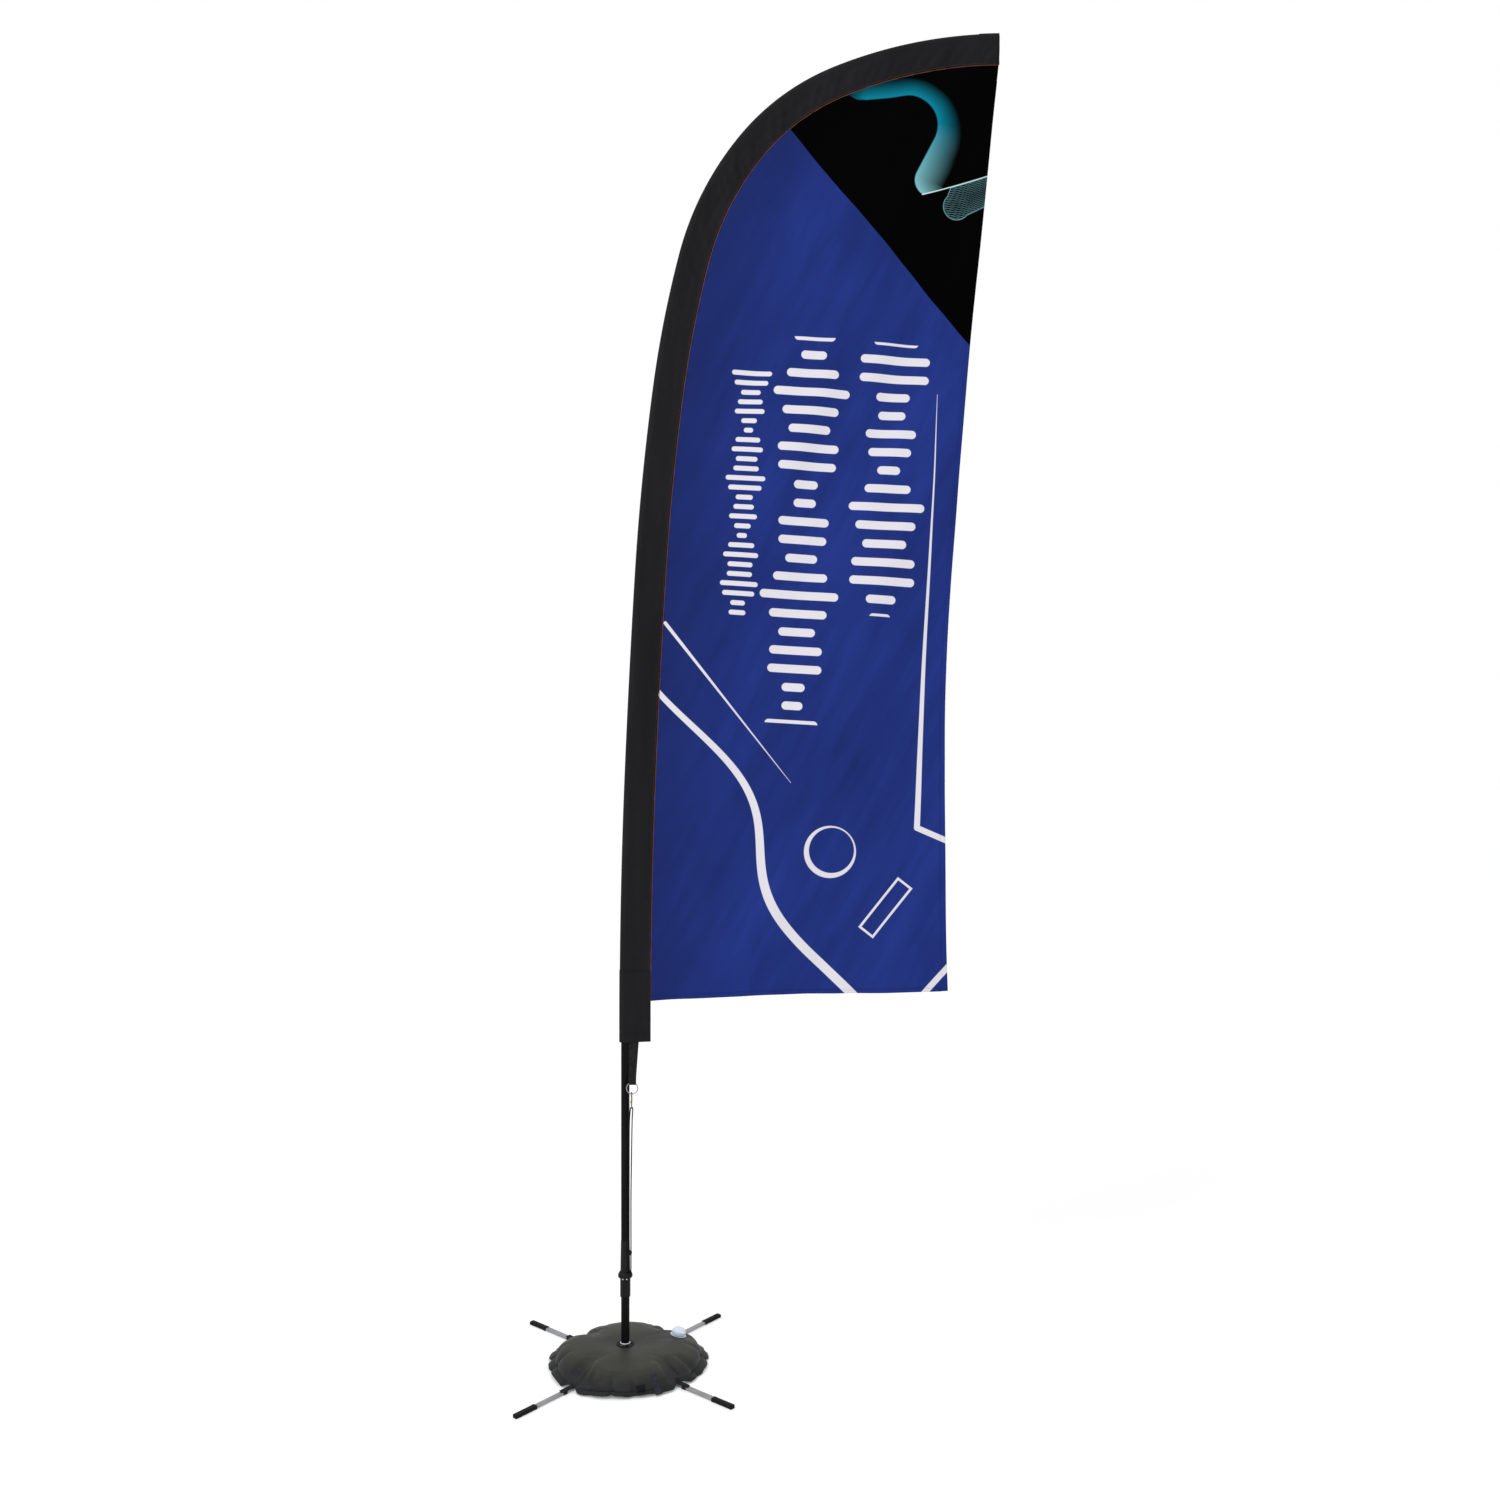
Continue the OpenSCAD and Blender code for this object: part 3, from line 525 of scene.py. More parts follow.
def ink(distance, soft=0.0012):
    """1 inside a shape and 0 outside, with a narrow soft edge."""
    return (distance * (-1 / soft) + 0.5).clamp()


def bar_column(x, z, centre, length, half_width, pitch, thickness, seed):
    """A column of parallel rounded bars of wandering length, like the levels on a sound meter."""
    along, across = turned(x, z, centre, 3.6)
    index = (along / pitch).math("FLOOR")
    level = (index * 1.7 + seed).math("SINE") * 0.26 + (index * 0.61 + seed * 2).math("SINE") * 0.2 + 0.56
    offset = along - (index + 0.5) * pitch
    beyond = (across.size() - level * half_width).most(0.0)
    d = (beyond * beyond + offset * offset).root() - thickness / 2
    return d.most(along.size() - length / 2)


def frame_shape(x, z, centre, half_length, half_width, line, degrees):
    """The outline of a rectangle."""
    along, across = turned(x, z, centre, degrees)
    d = (along.size() - half_length).most(across.size() - half_width)
    return d.size() - line / 2


def winding_line(x, z):
    """A white line that sways as it falls to the right, wider at its foot."""
    start_z, end_z, sway, period, lean = 1.390, 1.820, 0.052, 0.640, -0.556
    fall = z - start_z
    slope = (fall * (2 * pi / period) + 0.5).math("COSINE") * (sway * 2 * pi / period) + lean
    line = (x - (0.322 + (fall * lean + fall.wave(period, 0.5) * sway))).size()
    line = line / (slope * slope + 1.0).root() - (z.rise(2.0, 1.2) * 0.007 + 0.005)
    return line.most(z - end_z)


# Columns of level bars: centre, length, half width, pitch and thickness of its bars, seed
COLUMNS = [((0.310, 2.264), 0.640, 0.046, 0.0250, 0.0125, 0.4),
           ((0.462, 2.165), 1.005, 0.090, 0.0480, 0.0215, 2.1),
           ((0.683, 2.297), 0.712, 0.092, 0.0480, 0.0215, 5.0)]
# White lines: start, end, width at each
LINES = [((0.812, 2.520), (0.757, 1.393), 0.001, 0.015), ((0.757, 1.393), (0.852, 1.352), 0.015, 0.015),
         ((0.104, 1.925), (0.430, 1.510), 0.009, 0.001), ((0.776, 0.960), (0.850, 1.040), 0.016, 0.016)]
# The ribbon: the middles of its upper turn, foot, start and tail, a point on its lower edge, and radii
TURN, FOOT, START, TAIL = (0.733, 3.217), (0.793, 3.074), (0.612, 3.331), (0.862, 3.009)
EDGE = (0.776, 3.039)
TURN_R, FOOT_R, START_R, TAIL_R = 0.0785, 0.041, 0.045, 0.036


def ribbon_glow(x, z, over_edge):
    """Brightness of the ribbon: crisp where it meets a dark shape, and fading away from it."""
    turn_x, turn_z = x - TURN[0], z - TURN[1]
    foot_x, foot_z = x - FOOT[0], z - FOOT[1]
    ledge = turn_z * 0.996 - turn_x * 0.090 - TURN_R
    descent = turn_x * 0.885 - turn_z * 0.466 - TURN_R
    lobe = foot_x + (FOOT_R ** 2 - foot_z * foot_z).most(0.0).root()
    beyond = where(turn_x * 0.996 + turn_z * 0.090, ledge, dist(x, z, TURN) - TURN_R)
    beyond = where(x - 0.622, START_R - dist(x, z, START), beyond)
    beyond = where(turn_x * 0.466 + turn_z * 0.885, descent, beyond)
    beyond = where(foot_z * 0.885 + foot_x * 0.466, lobe, beyond)
    fade = 1.0 - beyond / (z.rise(3.31, 3.10) * 0.030 + 0.048)
    glow = ink(beyond * -1.0, 0.003) * ink(over_edge * -1.0, 0.002) * fade.clamp() * x.rise(0.575, 0.625)
    return glow.math("POWER", 1.25)


def ribbon_tail(x, z, over_edge):
    """Brightness of its tail: fine crossing lines under a pale rim."""
    neck = ((z - 3.006) * 0.353 - (x - 0.826) * 0.935).most(TAIL[1] - z)
    sheet = (TAIL[0] - x).most(((x - 0.861) * 0.430 - (z - 2.973)) * 0.92)
    tail = over_edge.most((dist(x, z, TAIL) - TAIL_R).least(neck).least(sheet))
    bow = (x * 22.0 + 0.6).math("SINE") * 0.012
    threads = (z - x * 0.50 + bow).wave(0.0050).most((z + x * 0.28 - bow).wave(0.0060)).rise(0.60, 1.0)
    shade = (tail * -18.0 + 0.25).clamp()
    rim = ink((tail + 0.0012).size() - 0.0009, 0.0016)
    return (threads * (0.42 - shade * 0.26)).most(rim * 0.6) * ink(tail)


def sail_print():
    """Printed knitted polyester: a blue field, a black corner with a soft teal ribbon, and plain
    white shapes. The blue field has painted blotches of light, painted diagonal sheen and
    painted shade towards the sleeve."""
    f = Finish("sail_print", (32, 46, 122), 0.68, gloss=0.02)
    x, z = f.x, f.z
    # Painted light: soft blotches of light and diagonal sheen streaks over the blue; the streaks also
    # raise the folds' bump
    painted_light_blotch = f.noise(2.4, 3, (1.6, 1, 0.7), 25)
    fold_and_sheen_streak = f.noise(9, 3, (3.0, 1, 0.35), 28)
    painted_light_tone = (painted_light_blotch * 0.65 + fold_and_sheen_streak * 0.35).rise(0.36, 0.66)
    blue = f.mix(painted_light_tone, (26, 40, 99), (34, 51, 126))
    # Painted shade: the blue darkens towards the seam with the sleeve
    seam = f.curve(z, [path.sleeve(s, SLEEVE_W)[::-1] for s in np.linspace(FOOT_S, POLE_END - 0.30, 14)])
    blue = f.mix((x - seam).rise(0.240, 0.0) * 0.60, blue, (24, 34, 82))

    crescent = (dist(x, z, (0.532, 1.330)) - 0.068).most(0.059 - dist(x, z, (0.536, 1.334)))
    white = crescent.least(frame_shape(x, z, (0.676, 1.185), 0.080, 0.021, 0.006, 38))
    for shape in ([bar_column(x, z, *column) for column in COLUMNS] + [bar(x, z, *line) for line in LINES]
                  + [winding_line(x, z)]):
        white = white.least(shape)
    painted = f.mix(ink(white), blue, (208, 205, 212))

    over_edge = (z - EDGE[1]) * 0.963 - (x - EDGE[0]) * 0.269
    teal = f.mix(z.rise(3.22, 3.045), (8, 118, 140), (120, 178, 182))
    black = f.mix(ribbon_glow(x, z, over_edge), (0, 0, 0), teal)
    black = f.mix(ribbon_tail(x, z, over_edge), black, (128, 184, 192))
    edge_line = bar(x, z, (0.772, 3.038), (0.960, 3.091), 0.0022, 0.0016)
    black = f.mix(ink(edge_line, 0.002), black, (214, 236, 238))
    diagonal = (x - 0.428) * 0.768 + (z - 3.210) * 0.640
    f.color(f.mix(ink(diagonal * -1.0), painted, black))

    f.bump(weave(x, z, 0.0013, 0.0010), 0.00012, 0.35)
    f.bump(fold_and_sheen_streak, 0.004, 0.25)
    return f.material


# ---------- sleeve ----------

def sleeve_half(s, u):
    """Half the sleeve's thickness: round over the pole, then falling to the seam."""
    bulge = BULGE_MOUTH + (BULGE_TIP - BULGE_MOUTH) * (s - MOUTH_S) / (POLE_END - MOUTH_S)
    if u < SLEEVE_EDGE:
        return bulge * sqrt(max(0.0, 1 - ((SLEEVE_EDGE - u) / SLEEVE_EDGE) ** 2))
    t = (u - SLEEVE_EDGE) / (SLEEVE_W - SLEEVE_EDGE)
    return 0.0007 + (bulge - 0.0007) * ((1 - t) * 0.62 + (1 - t) ** 2 * 0.38)


def sleeve_fold(s, u):
    """How far the flat part of the sleeve wanders out of its plane: creases across it where the
    pole bends, and soft folds along it."""
    bend = min(1.0, path.curvature(s) / 1.3)
    crease = 0.35 - abs(wander((s + 0.9 * u) / 0.030, u / 0.09, 3.1)) * 1.6
    fine = wander((s - 0.5 * u) / 0.014, u / 0.05, 9.4)
    along = wander(s / 0.22, u / 0.017, 5.7)
    flat = smooth(u, 0.018, 0.040) * smooth(u, SLEEVE_W, SLEEVE_W - 0.014)
    return flat * (bend * (0.0068 * crease + 0.0016 * fine) + 0.0013 * along)


def around_sleeve():
    """The section's sample places as (u, side): down the front, round the seam and back."""
    nose = [SLEEVE_EDGE * (1 - cos(radians(a))) for a in range(10, 90, 10)]
    flank = list(np.linspace(SLEEVE_EDGE, SLEEVE_W, 26))
    us = nose + flank
    return [(0.0, 0)] + [(u, -1) for u in us] + [(u, 1) for u in reversed(us)]


def sleeve_ring(s, grow, places):
    ring = []
    for u, side in places:
        half = sleeve_half(s, u) + (grow if side else 0.0)
        edge = grow * (1 if u > SLEEVE_W - 1e-6 else -1 if u < 0.004 else 0)
        x, z = path.sleeve(s, u + edge)
        ring.append((x, side * half + sleeve_fold(s, u), z))
    return ring


def sleeve_skin(name, s_values, grow, closed_end=False):
    """A shell over the sleeve's section, grown outwards."""
    places = around_sleeve()
    n = len(places)
    verts = [p for s in s_values for p in sleeve_ring(s, grow, places)]
    faces = grid_faces(len(s_values), n, wraps=1)
    if closed_end:
        last = (len(s_values) - 1) * n
        faces.append((last, last + n - 1, last + 1))
        faces += [(last + j, last + n - j, last + n - 1 - j, last + j + 1) for j in range(1, n // 2)]
    skin = mesh_piece(name, verts, faces)
    solidify(skin, CLOTH_T, -1.0)
    return skin


def on_sleeve(places, side, lift=0.0013):
    """Points above the sleeve's face at places (s, u)."""
    points = []
    for s, u in places:
        x, z = path.sleeve(s, u)
        points.append((x, side * (sleeve_half(s, u) + lift) + sleeve_fold(s, u), z))
    return points


def make_sleeve():
    """The sleeve with its cuff, tip pocket and stitching, and the piping where the sail joins it."""
    proud = 0.0009
    sleeve = sleeve_skin("pole_sleeve", np.linspace(MOUTH_S, POLE_END, 430), 0.0)
    cuff = sleeve_skin("mouth_cuff", np.linspace(MOUTH_S - 0.001, CUFF_S, 60), proud)
    pocket_s = np.append(np.linspace(POLE_END - POCKET_L, POLE_END + 0.0008, 14), POLE_END + 0.0012)
    pocket = sleeve_skin("tip_end_pocket", pocket_s, proud, closed_end=True)
    for piece, node in ((sleeve, "sleeve"), (cuff, "sleeve_cuff"), (pocket, "tip_pocket")):
        place(piece, "mast", "sleeve_cloth", node)

    across = np.linspace(0.006, SLEEVE_W - 0.002, 40)
    across_at = (MOUTH_S + 0.020, MOUTH_S + 0.0235, CUFF_S - 0.004, POLE_END - POCKET_L + 0.004)
    lines = [[(s, u) for u in across] for s in across_at]
    lines.append([(s, SLEEVE_W - 0.006) for s in np.linspace(MOUTH_S, CUFF_S, 60)])
    seam = [(s, SLEEVE_W - 0.0035) for s in np.linspace(FOOT_S, POLE_END - 0.004, 420)]
    black = [(on_sleeve(line, side), (0, side, 0)) for side in (-1, 1) for line in lines]
    black_stitches = sewn("cuff_stitching", "mast", "sleeve_cloth", black, finish=black_thread)
    rust = [(on_sleeve(seam, side, 0.0004), (0, side, 0)) for side in (-1, 1)]
    seam_stitches = sewn("seam_stitching", "mast", "sleeve_cloth", rust, 0.0036, 0.0048,
                         finish=rust_thread)

    verts, rings = [], np.linspace(FOOT_S, POLE_END, 320)
    for s in rings:
        for a in round_turn(6):
            x, z = path.sleeve(s, SLEEVE_W + 0.0010 + 0.0011 * cos(a))
            verts.append((x, 0.0017 * sin(a), z))
    piping = mesh_piece("seam_piping", verts, tube_faces(len(rings), 6))
    place(piping, "mast", "sleeve_cloth", finish=rust_thread)


# ---------- sail ----------

def bezier(points, t):
    n = len(points) - 1
    return sum(comb(n, k) * (1 - t) ** (n - k) * t ** k * np.array(p) for k, p in enumerate(points))


SEAM_TUCK = 0.004
foot_seam = path.sleeve(FOOT_S, SLEEVE_W)
tip_seam = path.sleeve(POLE_END, SLEEVE_W)


def seam_at(b):
    """The seam from the sail's foot, b = 0, to its tip, b = 1."""
    return path.sleeve(FOOT_S + b * (POLE_END - FOOT_S), SLEEVE_W - SEAM_TUCK)


def free_at(b):
    """The free edge from its lower corner to the tip."""
    return bezier([tip_seam, *FREE_PULL, FREE_CORNER], 1 - b)


def bottom_at(a):
    """The bottom edge from the sleeve to the free corner."""
    return bezier([FREE_CORNER, BOTTOM_PULL, foot_seam], 1 - a)


def sail_point(a, b):
    """[x, z] of the flat sail: a goes from the seam to the free edge, b from the foot to the tip."""
    left, right = seam_at(b), free_at(b)
    straight = (1 - a) * bottom_at(0) + a * bottom_at(1)
    return (1 - a) * left + a * right + (1 - b) ** 3 * (bottom_at(a) - straight)


def sail_ripple(x, z, a, b):
    """How far the hanging cloth stands out of its plane."""
    turn = 2 * pi
    wide = sin(turn * (x * 0.93 - z * 0.36) / 0.37 + 1.2 * wander(x * 2, z * 1.1, 0))
    small = sin(turn * (x * 0.9 - z * 0.42) / 0.115 + 2.6 * wander(x * 3, z * 2, 4))
    small *= 0.5 + wander(x * 2.2, z * 1.4, 8)
    flutter = smooth(a, 0.72, 1.0) * sin(turn * z / 0.83 + 0.6)
    at_seam = exp(-a / 0.05) * min(1.0, a / 0.012) * sin(b * 420 + 3 * wander(b * 40, 0, 2))
    hang = smooth(a, 0.0, 0.22) * (0.0070 * wide + 0.0026 * small + 0.010 * flutter)
    return (hang + 0.0016 * at_seam) * smooth(b, 1.0, 0.93)


def sail_surface(a, b):
    x, z = sail_point(a, b)
    return (x, sail_ripple(x, z, a, b), z)


def hem_strip(name, edge_points, inner_points):
    """A folded hem round an edge: a flat closed band between the edge and a line inside it."""
    half = 0.0008
    proud = Vector((0, half, 0))
    verts = []
    for edge, inner in zip(map(Vector, edge_points), map(Vector, inner_points)):
        out = Vector((edge.x - inner.x, 0, edge.z - inner.z)).normalized() * half
        mid = (edge + inner) / 2
        verts += [edge + out, edge - proud, mid - proud, inner - proud, inner + proud, mid + proud,
                  edge + proud]
    return face_out(mesh_piece(name, verts, tube_faces(len(edge_points), 7)))


def make_sail():
    """The printed panel, its folded hems and their stitching."""
    cols, rows = 96, 300
    b_values = np.linspace(0, 1, rows) ** 0.96
    b_values[-1] = 0.9995
    verts = [sail_surface(a, b) for b in b_values for a in np.linspace(0, 1, cols)]
    sail = mesh_piece("sail_cloth", verts, grid_faces(rows, cols))
    solidify(sail, PANEL_T)
    place(sail, "mast", "sail_cloth", "sail_panel")

    edge, inner, bottom, bottom_inner = [], [], [], []
    for b in np.linspace(0, 0.985, 320):
        width = float(np.linalg.norm(seam_at(b) - free_at(b)))
        edge.append(sail_surface(1, b))
        inner.append(sail_surface(1 - min(0.5, HEM_W / width), b))
    b_in = 0.01 * HEM_W / float(np.linalg.norm(seam_at(0.01) - seam_at(0)))
    for a in np.linspace(0.012, 1 - HEM_W / 0.78, 120):
        bottom.append(sail_surface(a, 0))
        bottom_inner.append(sail_surface(a, b_in))
    side_hem = hem_strip("side_edge_hem", edge, inner)
    place(side_hem, "mast", "sail_cloth", "side_hem")
    bottom_hem = hem_strip("bottom_edge_hem", bottom, bottom_inner)
    place(bottom_hem, "mast", "sail_cloth", "bottom_hem")

    lines = [(np.array(outer) * 0.2 + np.array(inside) * 0.8 + (0, side * 0.00085, 0), (0, side, 0))
             for side in (-1, 1) for outer, inside in ((edge, inner), (bottom, bottom_inner))]
    stitches = sewn("hem_stitching", "mast", "sail_cloth", lines)
    panel_area()


def panel_area():
    """Flat area of the sail's cut, from its outline."""
    outline = [seam_at(b) for b in np.linspace(0, 1, 200)]
    outline += [free_at(b) for b in np.linspace(1, 0, 200)]
    outline += [bottom_at(a) for a in np.linspace(1, 0, 50)]
    p = np.array(outline)
    q = np.roll(p, -1, axis=0)
    return float(abs(np.sum(p[:, 0] * q[:, 1] - q[:, 0] * p[:, 1])) / 2)


# ---------- tension set ----------

def make_strap():
    """The webbing strap: down from inside the sleeve, round the ring and up again in front."""
    left, right_low, right_high, low_z, high_z = 0.0104, 0.0292, 0.0372, 0.745, 0.862
    centre_line = [(-0.0040, 0.868), (-0.0068, 0.825), (-0.0098, 0.785), (-0.0116, 0.758),
                   (-0.0114, 0.744), (-0.0112, 0.7312), (-0.0118, 0.7288), (-0.0135, 0.7279),
                   (-0.0152, 0.7288), (-0.0158, 0.7312), (-0.0157, 0.741), (-0.0141, 0.749),
                   (-0.0128, 0.758), (-0.0115, 0.775)]
    cols = 10
    verts = []
    for y, z in centre_line:
        right = right_low + (right_high - right_low) * max(0.0, (z - low_z) / (high_z - low_z))
        for t in np.linspace(0, 1, cols):
            cup = 0.0010 * sin(pi * t) * smooth(z, low_z, 0.80)
            verts.append((left + (right - left) * t, y - cup, z))
    strap = mesh_piece("tension_webbing", verts, grid_faces(len(centre_line), cols))
    round_off(strap, 2)
    solidify(strap, 0.0012)
    place(strap, "mast", "webbing", "tension_strap")
    corners = [(0.0145, -0.01335, 0.7555), (0.0275, -0.01335, 0.7555), (0.0280, -0.01215, 0.7715),
               (0.0145, -0.01215, 0.7715)]
    lines = [((corners[i], corners[j]), (0, -1, 0))
             for i, j in ((0, 1), (1, 2), (2, 3), (3, 0), (0, 2), (1, 3))]
    sewn("strap_box_stitch", "mast", "webbing", lines, 0.0020, 0.0028, finish=black_thread)


# The tension cord's diameter, and its route in millimetres as in the CAD source
CORD_D = 0.003
CORD_ROUTE = [
    (10.5, -12.9, 229), (10.5, -12.9, 241), (11, -12.5, 253), (11, -12.5, 430), (11.2, -12.7, 560),
    (11.6, -13, 620), (12.6, -13.3, 645), (13.9, -13.5, 659), (14.4, -13.5, 665.5),
    (14.6, -13.5, 667.3), (15.5, -13.5, 669.2), (17.5, -13.5, 670.2), (19.5, -13.5, 669.2),
    (20.4, -13.5, 667.3), (20.6, -13.5, 665.5), (20.4, -13.5, 659), (19.4, -13.3, 645),
    (18.6, -13, 620), (17.6, -12.8, 560), (15.9, -12.5, 430), (15.9, -12.5, 253), (14.6, -8, 240),
    (14.6, -8, 229)]


def resample(p, step):
    """Points every step metres along a line that runs smoothly through the given ones."""
    p = [p[0] * 2 - p[1]] + p + [p[-1] * 2 - p[-2]]
    fine = []
    for i in range(1, len(p) - 2):
        before, chord, after = ((p[k + 1] - p[k]).length for k in (i - 1, i, i + 1))
        leave = (p[i + 1] - p[i - 1]) * chord / (chord + before)
        arrive = (p[i + 2] - p[i]) * chord / (after + chord)
        for t in np.arange(max(2, int(chord / step))) / max(2, int(chord / step)):
            fine.append(p[i] * (2 * t ** 3 - 3 * t ** 2 + 1) + leave * (t ** 3 - 2 * t ** 2 + t)
                        + p[i + 1] * (3 * t ** 2 - 2 * t ** 3) + arrive * (t ** 3 - t ** 2))
    return fine + [p[-2]]


def make_cord():
    """The tension cord: round, with a surface that rises and falls where its strands cross."""
    line = resample([Vector(p) / 1000 for p in CORD_ROUTE], 0.0011)
    sides, strands, lay = 12, 4, CORD_D * 2.4
    verts, travelled = [], 0.0
    for i, p in enumerate(line):
        ahead, behind = line[min(i + 1, len(line) - 1)], line[max(i - 1, 0)]
        t = (ahead - behind).normalized()
        side = t.cross(Vector((0, 1, 0))).normalized()
        up = side.cross(t)
        travelled += (p - behind).length
        turn = 2 * pi * travelled / lay
        for a in round_turn(sides):
            braid = cos(strands * a + turn) * cos(strands * a - turn)
            verts.append(p + (side * cos(a) + up * sin(a)) * CORD_D / 2 * (0.96 + 0.07 * braid))
    cord = face_out(mesh_piece("braided_tension_cord", verts, tube_faces(len(line), sides)))
    place(cord, "mast", "cord", "tension_cord")


# ---------- weight bag ----------

# How far the rim is pulled in at a leg, and its creases: direction, depth, and width in degrees
LEG_PULL = 0.010
CREASES = [(-112, 0.0016, 3.0), (-95, 0.0012, 2.2), (-78, 0.0016, 2.6), (-63, 0.0012, 2.4),
           (-22, 0.0040, 3.2), (2, 0.0030, 2.8), (18, 0.0032, 3.0), (72, 0.0030, 3.0),
           (95, 0.0026, 2.4), (116, 0.0034, 3.0), (162, 0.0034, 2.8), (180, 0.0050, 3.2),
           (197, 0.0040, 3.0)]
# Folds beside each leg that run up towards the crown: turn from the leg, depth, width in degrees
PUCKERS = [(-7, 0.0060, 1.8), (6, 0.0105, 2.0), (17, 0.0040, 1.8)]
# The bag's centre hole, its filler, the patch and the buckle at its front, the recess under it, the
# height above which its crown is pressed down, and the directions and the upper rows of its mesh
BORE_R = 0.0184
FILLER_AZIMUTH = 26
FILLER_REACH = 0.150
FILLER_TILT = 13
FILLER_Z = 0.048
PATCH_AZIMUTH = -60
BUCKLE_AZIMUTH = -73
RECESS_R = 0.095
CROWN_Z = 0.0500
AZIMUTHS = [i * 360 / 300 for i in range(300)]
TOP_ROWS = 30


def angle_between(a, b):
    return (a - b + 180) % 360 - 180


def hollow(azimuth, centre, width):
    """A smooth dent from 0 to 1 round one direction."""
    return exp(-(angle_between(azimuth, centre) / width) ** 2)


def rim_pull(azimuth):
    """How far the bag's rim is drawn in at a direction in degrees."""
    legs = sum(LEG_PULL * hollow(azimuth, d, 6.5) for d in LEG_DIRS)
    return legs + sum(depth * hollow(azimuth, d, width) for d, depth, width in CREASES)


def rim_radius(azimuth):
    a = radians(azimuth)
    sway = 0.0027 * sin(3 * a + 0.7) + 0.0018 * sin(5 * a - 0.4)
    flatter = 0.008 * max(0.0, sin(a)) ** 2 + 0.006 * max(0.0, -sin(a)) ** 2
    return BAG_R + 0.002 + sway + 0.006 * cos(a) - flatter - rim_pull(azimuth)


def over_leg(r, azimuth):
    """1 over a leg bar and 0 away from it."""
    turns = [angle_between(azimuth, d) for d in LEG_DIRS]
    return smooth(min(abs(r * sin(radians(t))) if abs(t) < 90 else 1.0 for t in turns), 0.030, 0.010)


def rim_height(azimuth):
    return BAG_RIM_Z + 0.0015 * over_leg(BAG_R, azimuth)


def pucker(share, azimuth):
    """Depth of the folds that the leg ties pull into the top and side."""
    depth = 0.0
    for d in LEG_DIRS:
        for turn, fold, width in PUCKERS:
            lean = turn * (0.55 + 0.45 * share)
            depth += fold * hollow(azimuth, d + lean, width * (0.7 + 0.6 * share))
    return depth * smooth(share, 0.66, 0.88) * smooth(share, 1.0, 0.95)


def filler_distance(r, azimuth):
    """Distance along the ground to the filler's axis."""
    turn = radians(angle_between(azimuth, FILLER_AZIMUTH))
    return hypot(r * cos(turn) - FILLER_REACH, r * sin(turn))


def bag_top(share, azimuth):
    """Height of the bag's upper side at a share of the way from the centre to the rim."""
    a = radians(azimuth)
    low = rim_height(azimuth)
    dome = low + (BAG_TOP_Z - low) * (1 - share ** 5.6) ** 0.6
    dome -= 0.006 * max(0.0, sin(a)) * smooth(share, 0.3, 0.8)
    dip = 0.0035 * exp(-(share * BAG_R - BORE_R) / 0.016)
    groove = rim_pull(azimuth) * 0.45 * smooth(share, 0.62, 0.94) * (1 - share ** 12)
    soft = 0.0022 * wander(share * 3 * cos(a), share * 3 * sin(a), 2.0)
    fold = 0.0013 * wander(a * 2.2 + 10, share * 2.0, 6.0) * smooth(share, 0.35, 0.7)
    relief = (soft + fold) * smooth(share, 0.12, 0.35) - groove
    near = exp(-(filler_distance(share * BAG_R, azimuth) / 0.030) ** 4)
    seat = FILLER_Z - 0.0038 - (share * BAG_R - FILLER_REACH) * tan(radians(FILLER_TILT))
    return (dome - dip + relief) * (1 - near) + seat * near


def bag_under(r, azimuth):
    """Height of its underside: it rests on the bars and sags towards the floor between them."""
    sag = 0.0068 * (1 - over_leg(r, azimuth)) * smooth(r, RECESS_R, RECESS_R + 0.040)
    return 0.0104 - sag + 0.0090 * smooth(r, 0.084, 0.066)


def bag_section(azimuth):
    """The bag's section at a direction, as (r, z), from the top of its bore outwards and back."""
    rim = rim_radius(azimuth)
    shares = [BORE_R / rim + (1 - BORE_R / rim) * sin(radians(a)) ** 0.9
              for a in np.linspace(0, 90, TOP_ROWS)]
    top = [(share * rim, bag_top(share, azimuth)) for share in shares]
    under = []
    for share in shares[-2::-2]:
        r = share * rim
        low = bag_under(r, azimuth)
        lift = (rim_height(azimuth) - low) * (1 - (1 - share ** 9) ** 0.5)
        under.append((r, low + lift))
    wall = [(BORE_R, under[-1][1] + (top[0][1] - under[-1][1]) * t) for t in (0.3, 0.6)]
    return top + under + wall


def turn_by(angle, axis="Z"):
    """The matrix of a turn in degrees."""
    return Matrix.Rotation(radians(angle), 4, axis)


def polar(r, azimuth, z):
    a = radians(azimuth)
    return (r * cos(a), r * sin(a), z)


def inflate(obj, held, frames, pressure, cap):
    """Blows a closed cloth shell up from inside. The held points stay, and none moves beyond cap."""
    start = np.array([v.co[:] for v in obj.data.vertices])
    group = obj.vertex_groups.new(name="held")
    group.add(held, 1.0, "REPLACE")
    cloth = obj.modifiers.new("cloth", "CLOTH")
    for name, value in (("quality", 6), ("mass", 0.25), ("tension_stiffness", 25),
                        ("compression_stiffness", 25), ("bending_stiffness", 0.02), ("use_pressure", True),
                        ("uniform_pressure_force", pressure), ("vertex_group_mass", group.name)):
        setattr(cloth.settings, name, value)
    cloth.settings.effector_weights.gravity = 0
    cloth.point_cache.frame_end = frames
    scene = bpy.context.scene
    for f in range(1, frames + 1):
        scene.frame_set(f)
    graph = bpy.context.evaluated_depsgraph_get()
    end = np.array([v.co[:] for v in obj.evaluated_get(graph).data.vertices])
    obj.modifiers.remove(cloth)
    obj.vertex_groups.clear()
    scene.frame_set(1)
    moves = end - start
    far = np.linalg.norm(moves, axis=1, keepdims=True)
    moves *= np.minimum(1, cap / np.maximum(far, 1e-9))
    obj.data.vertices.foreach_set("co", (start + moves).ravel())
    obj.data.update()


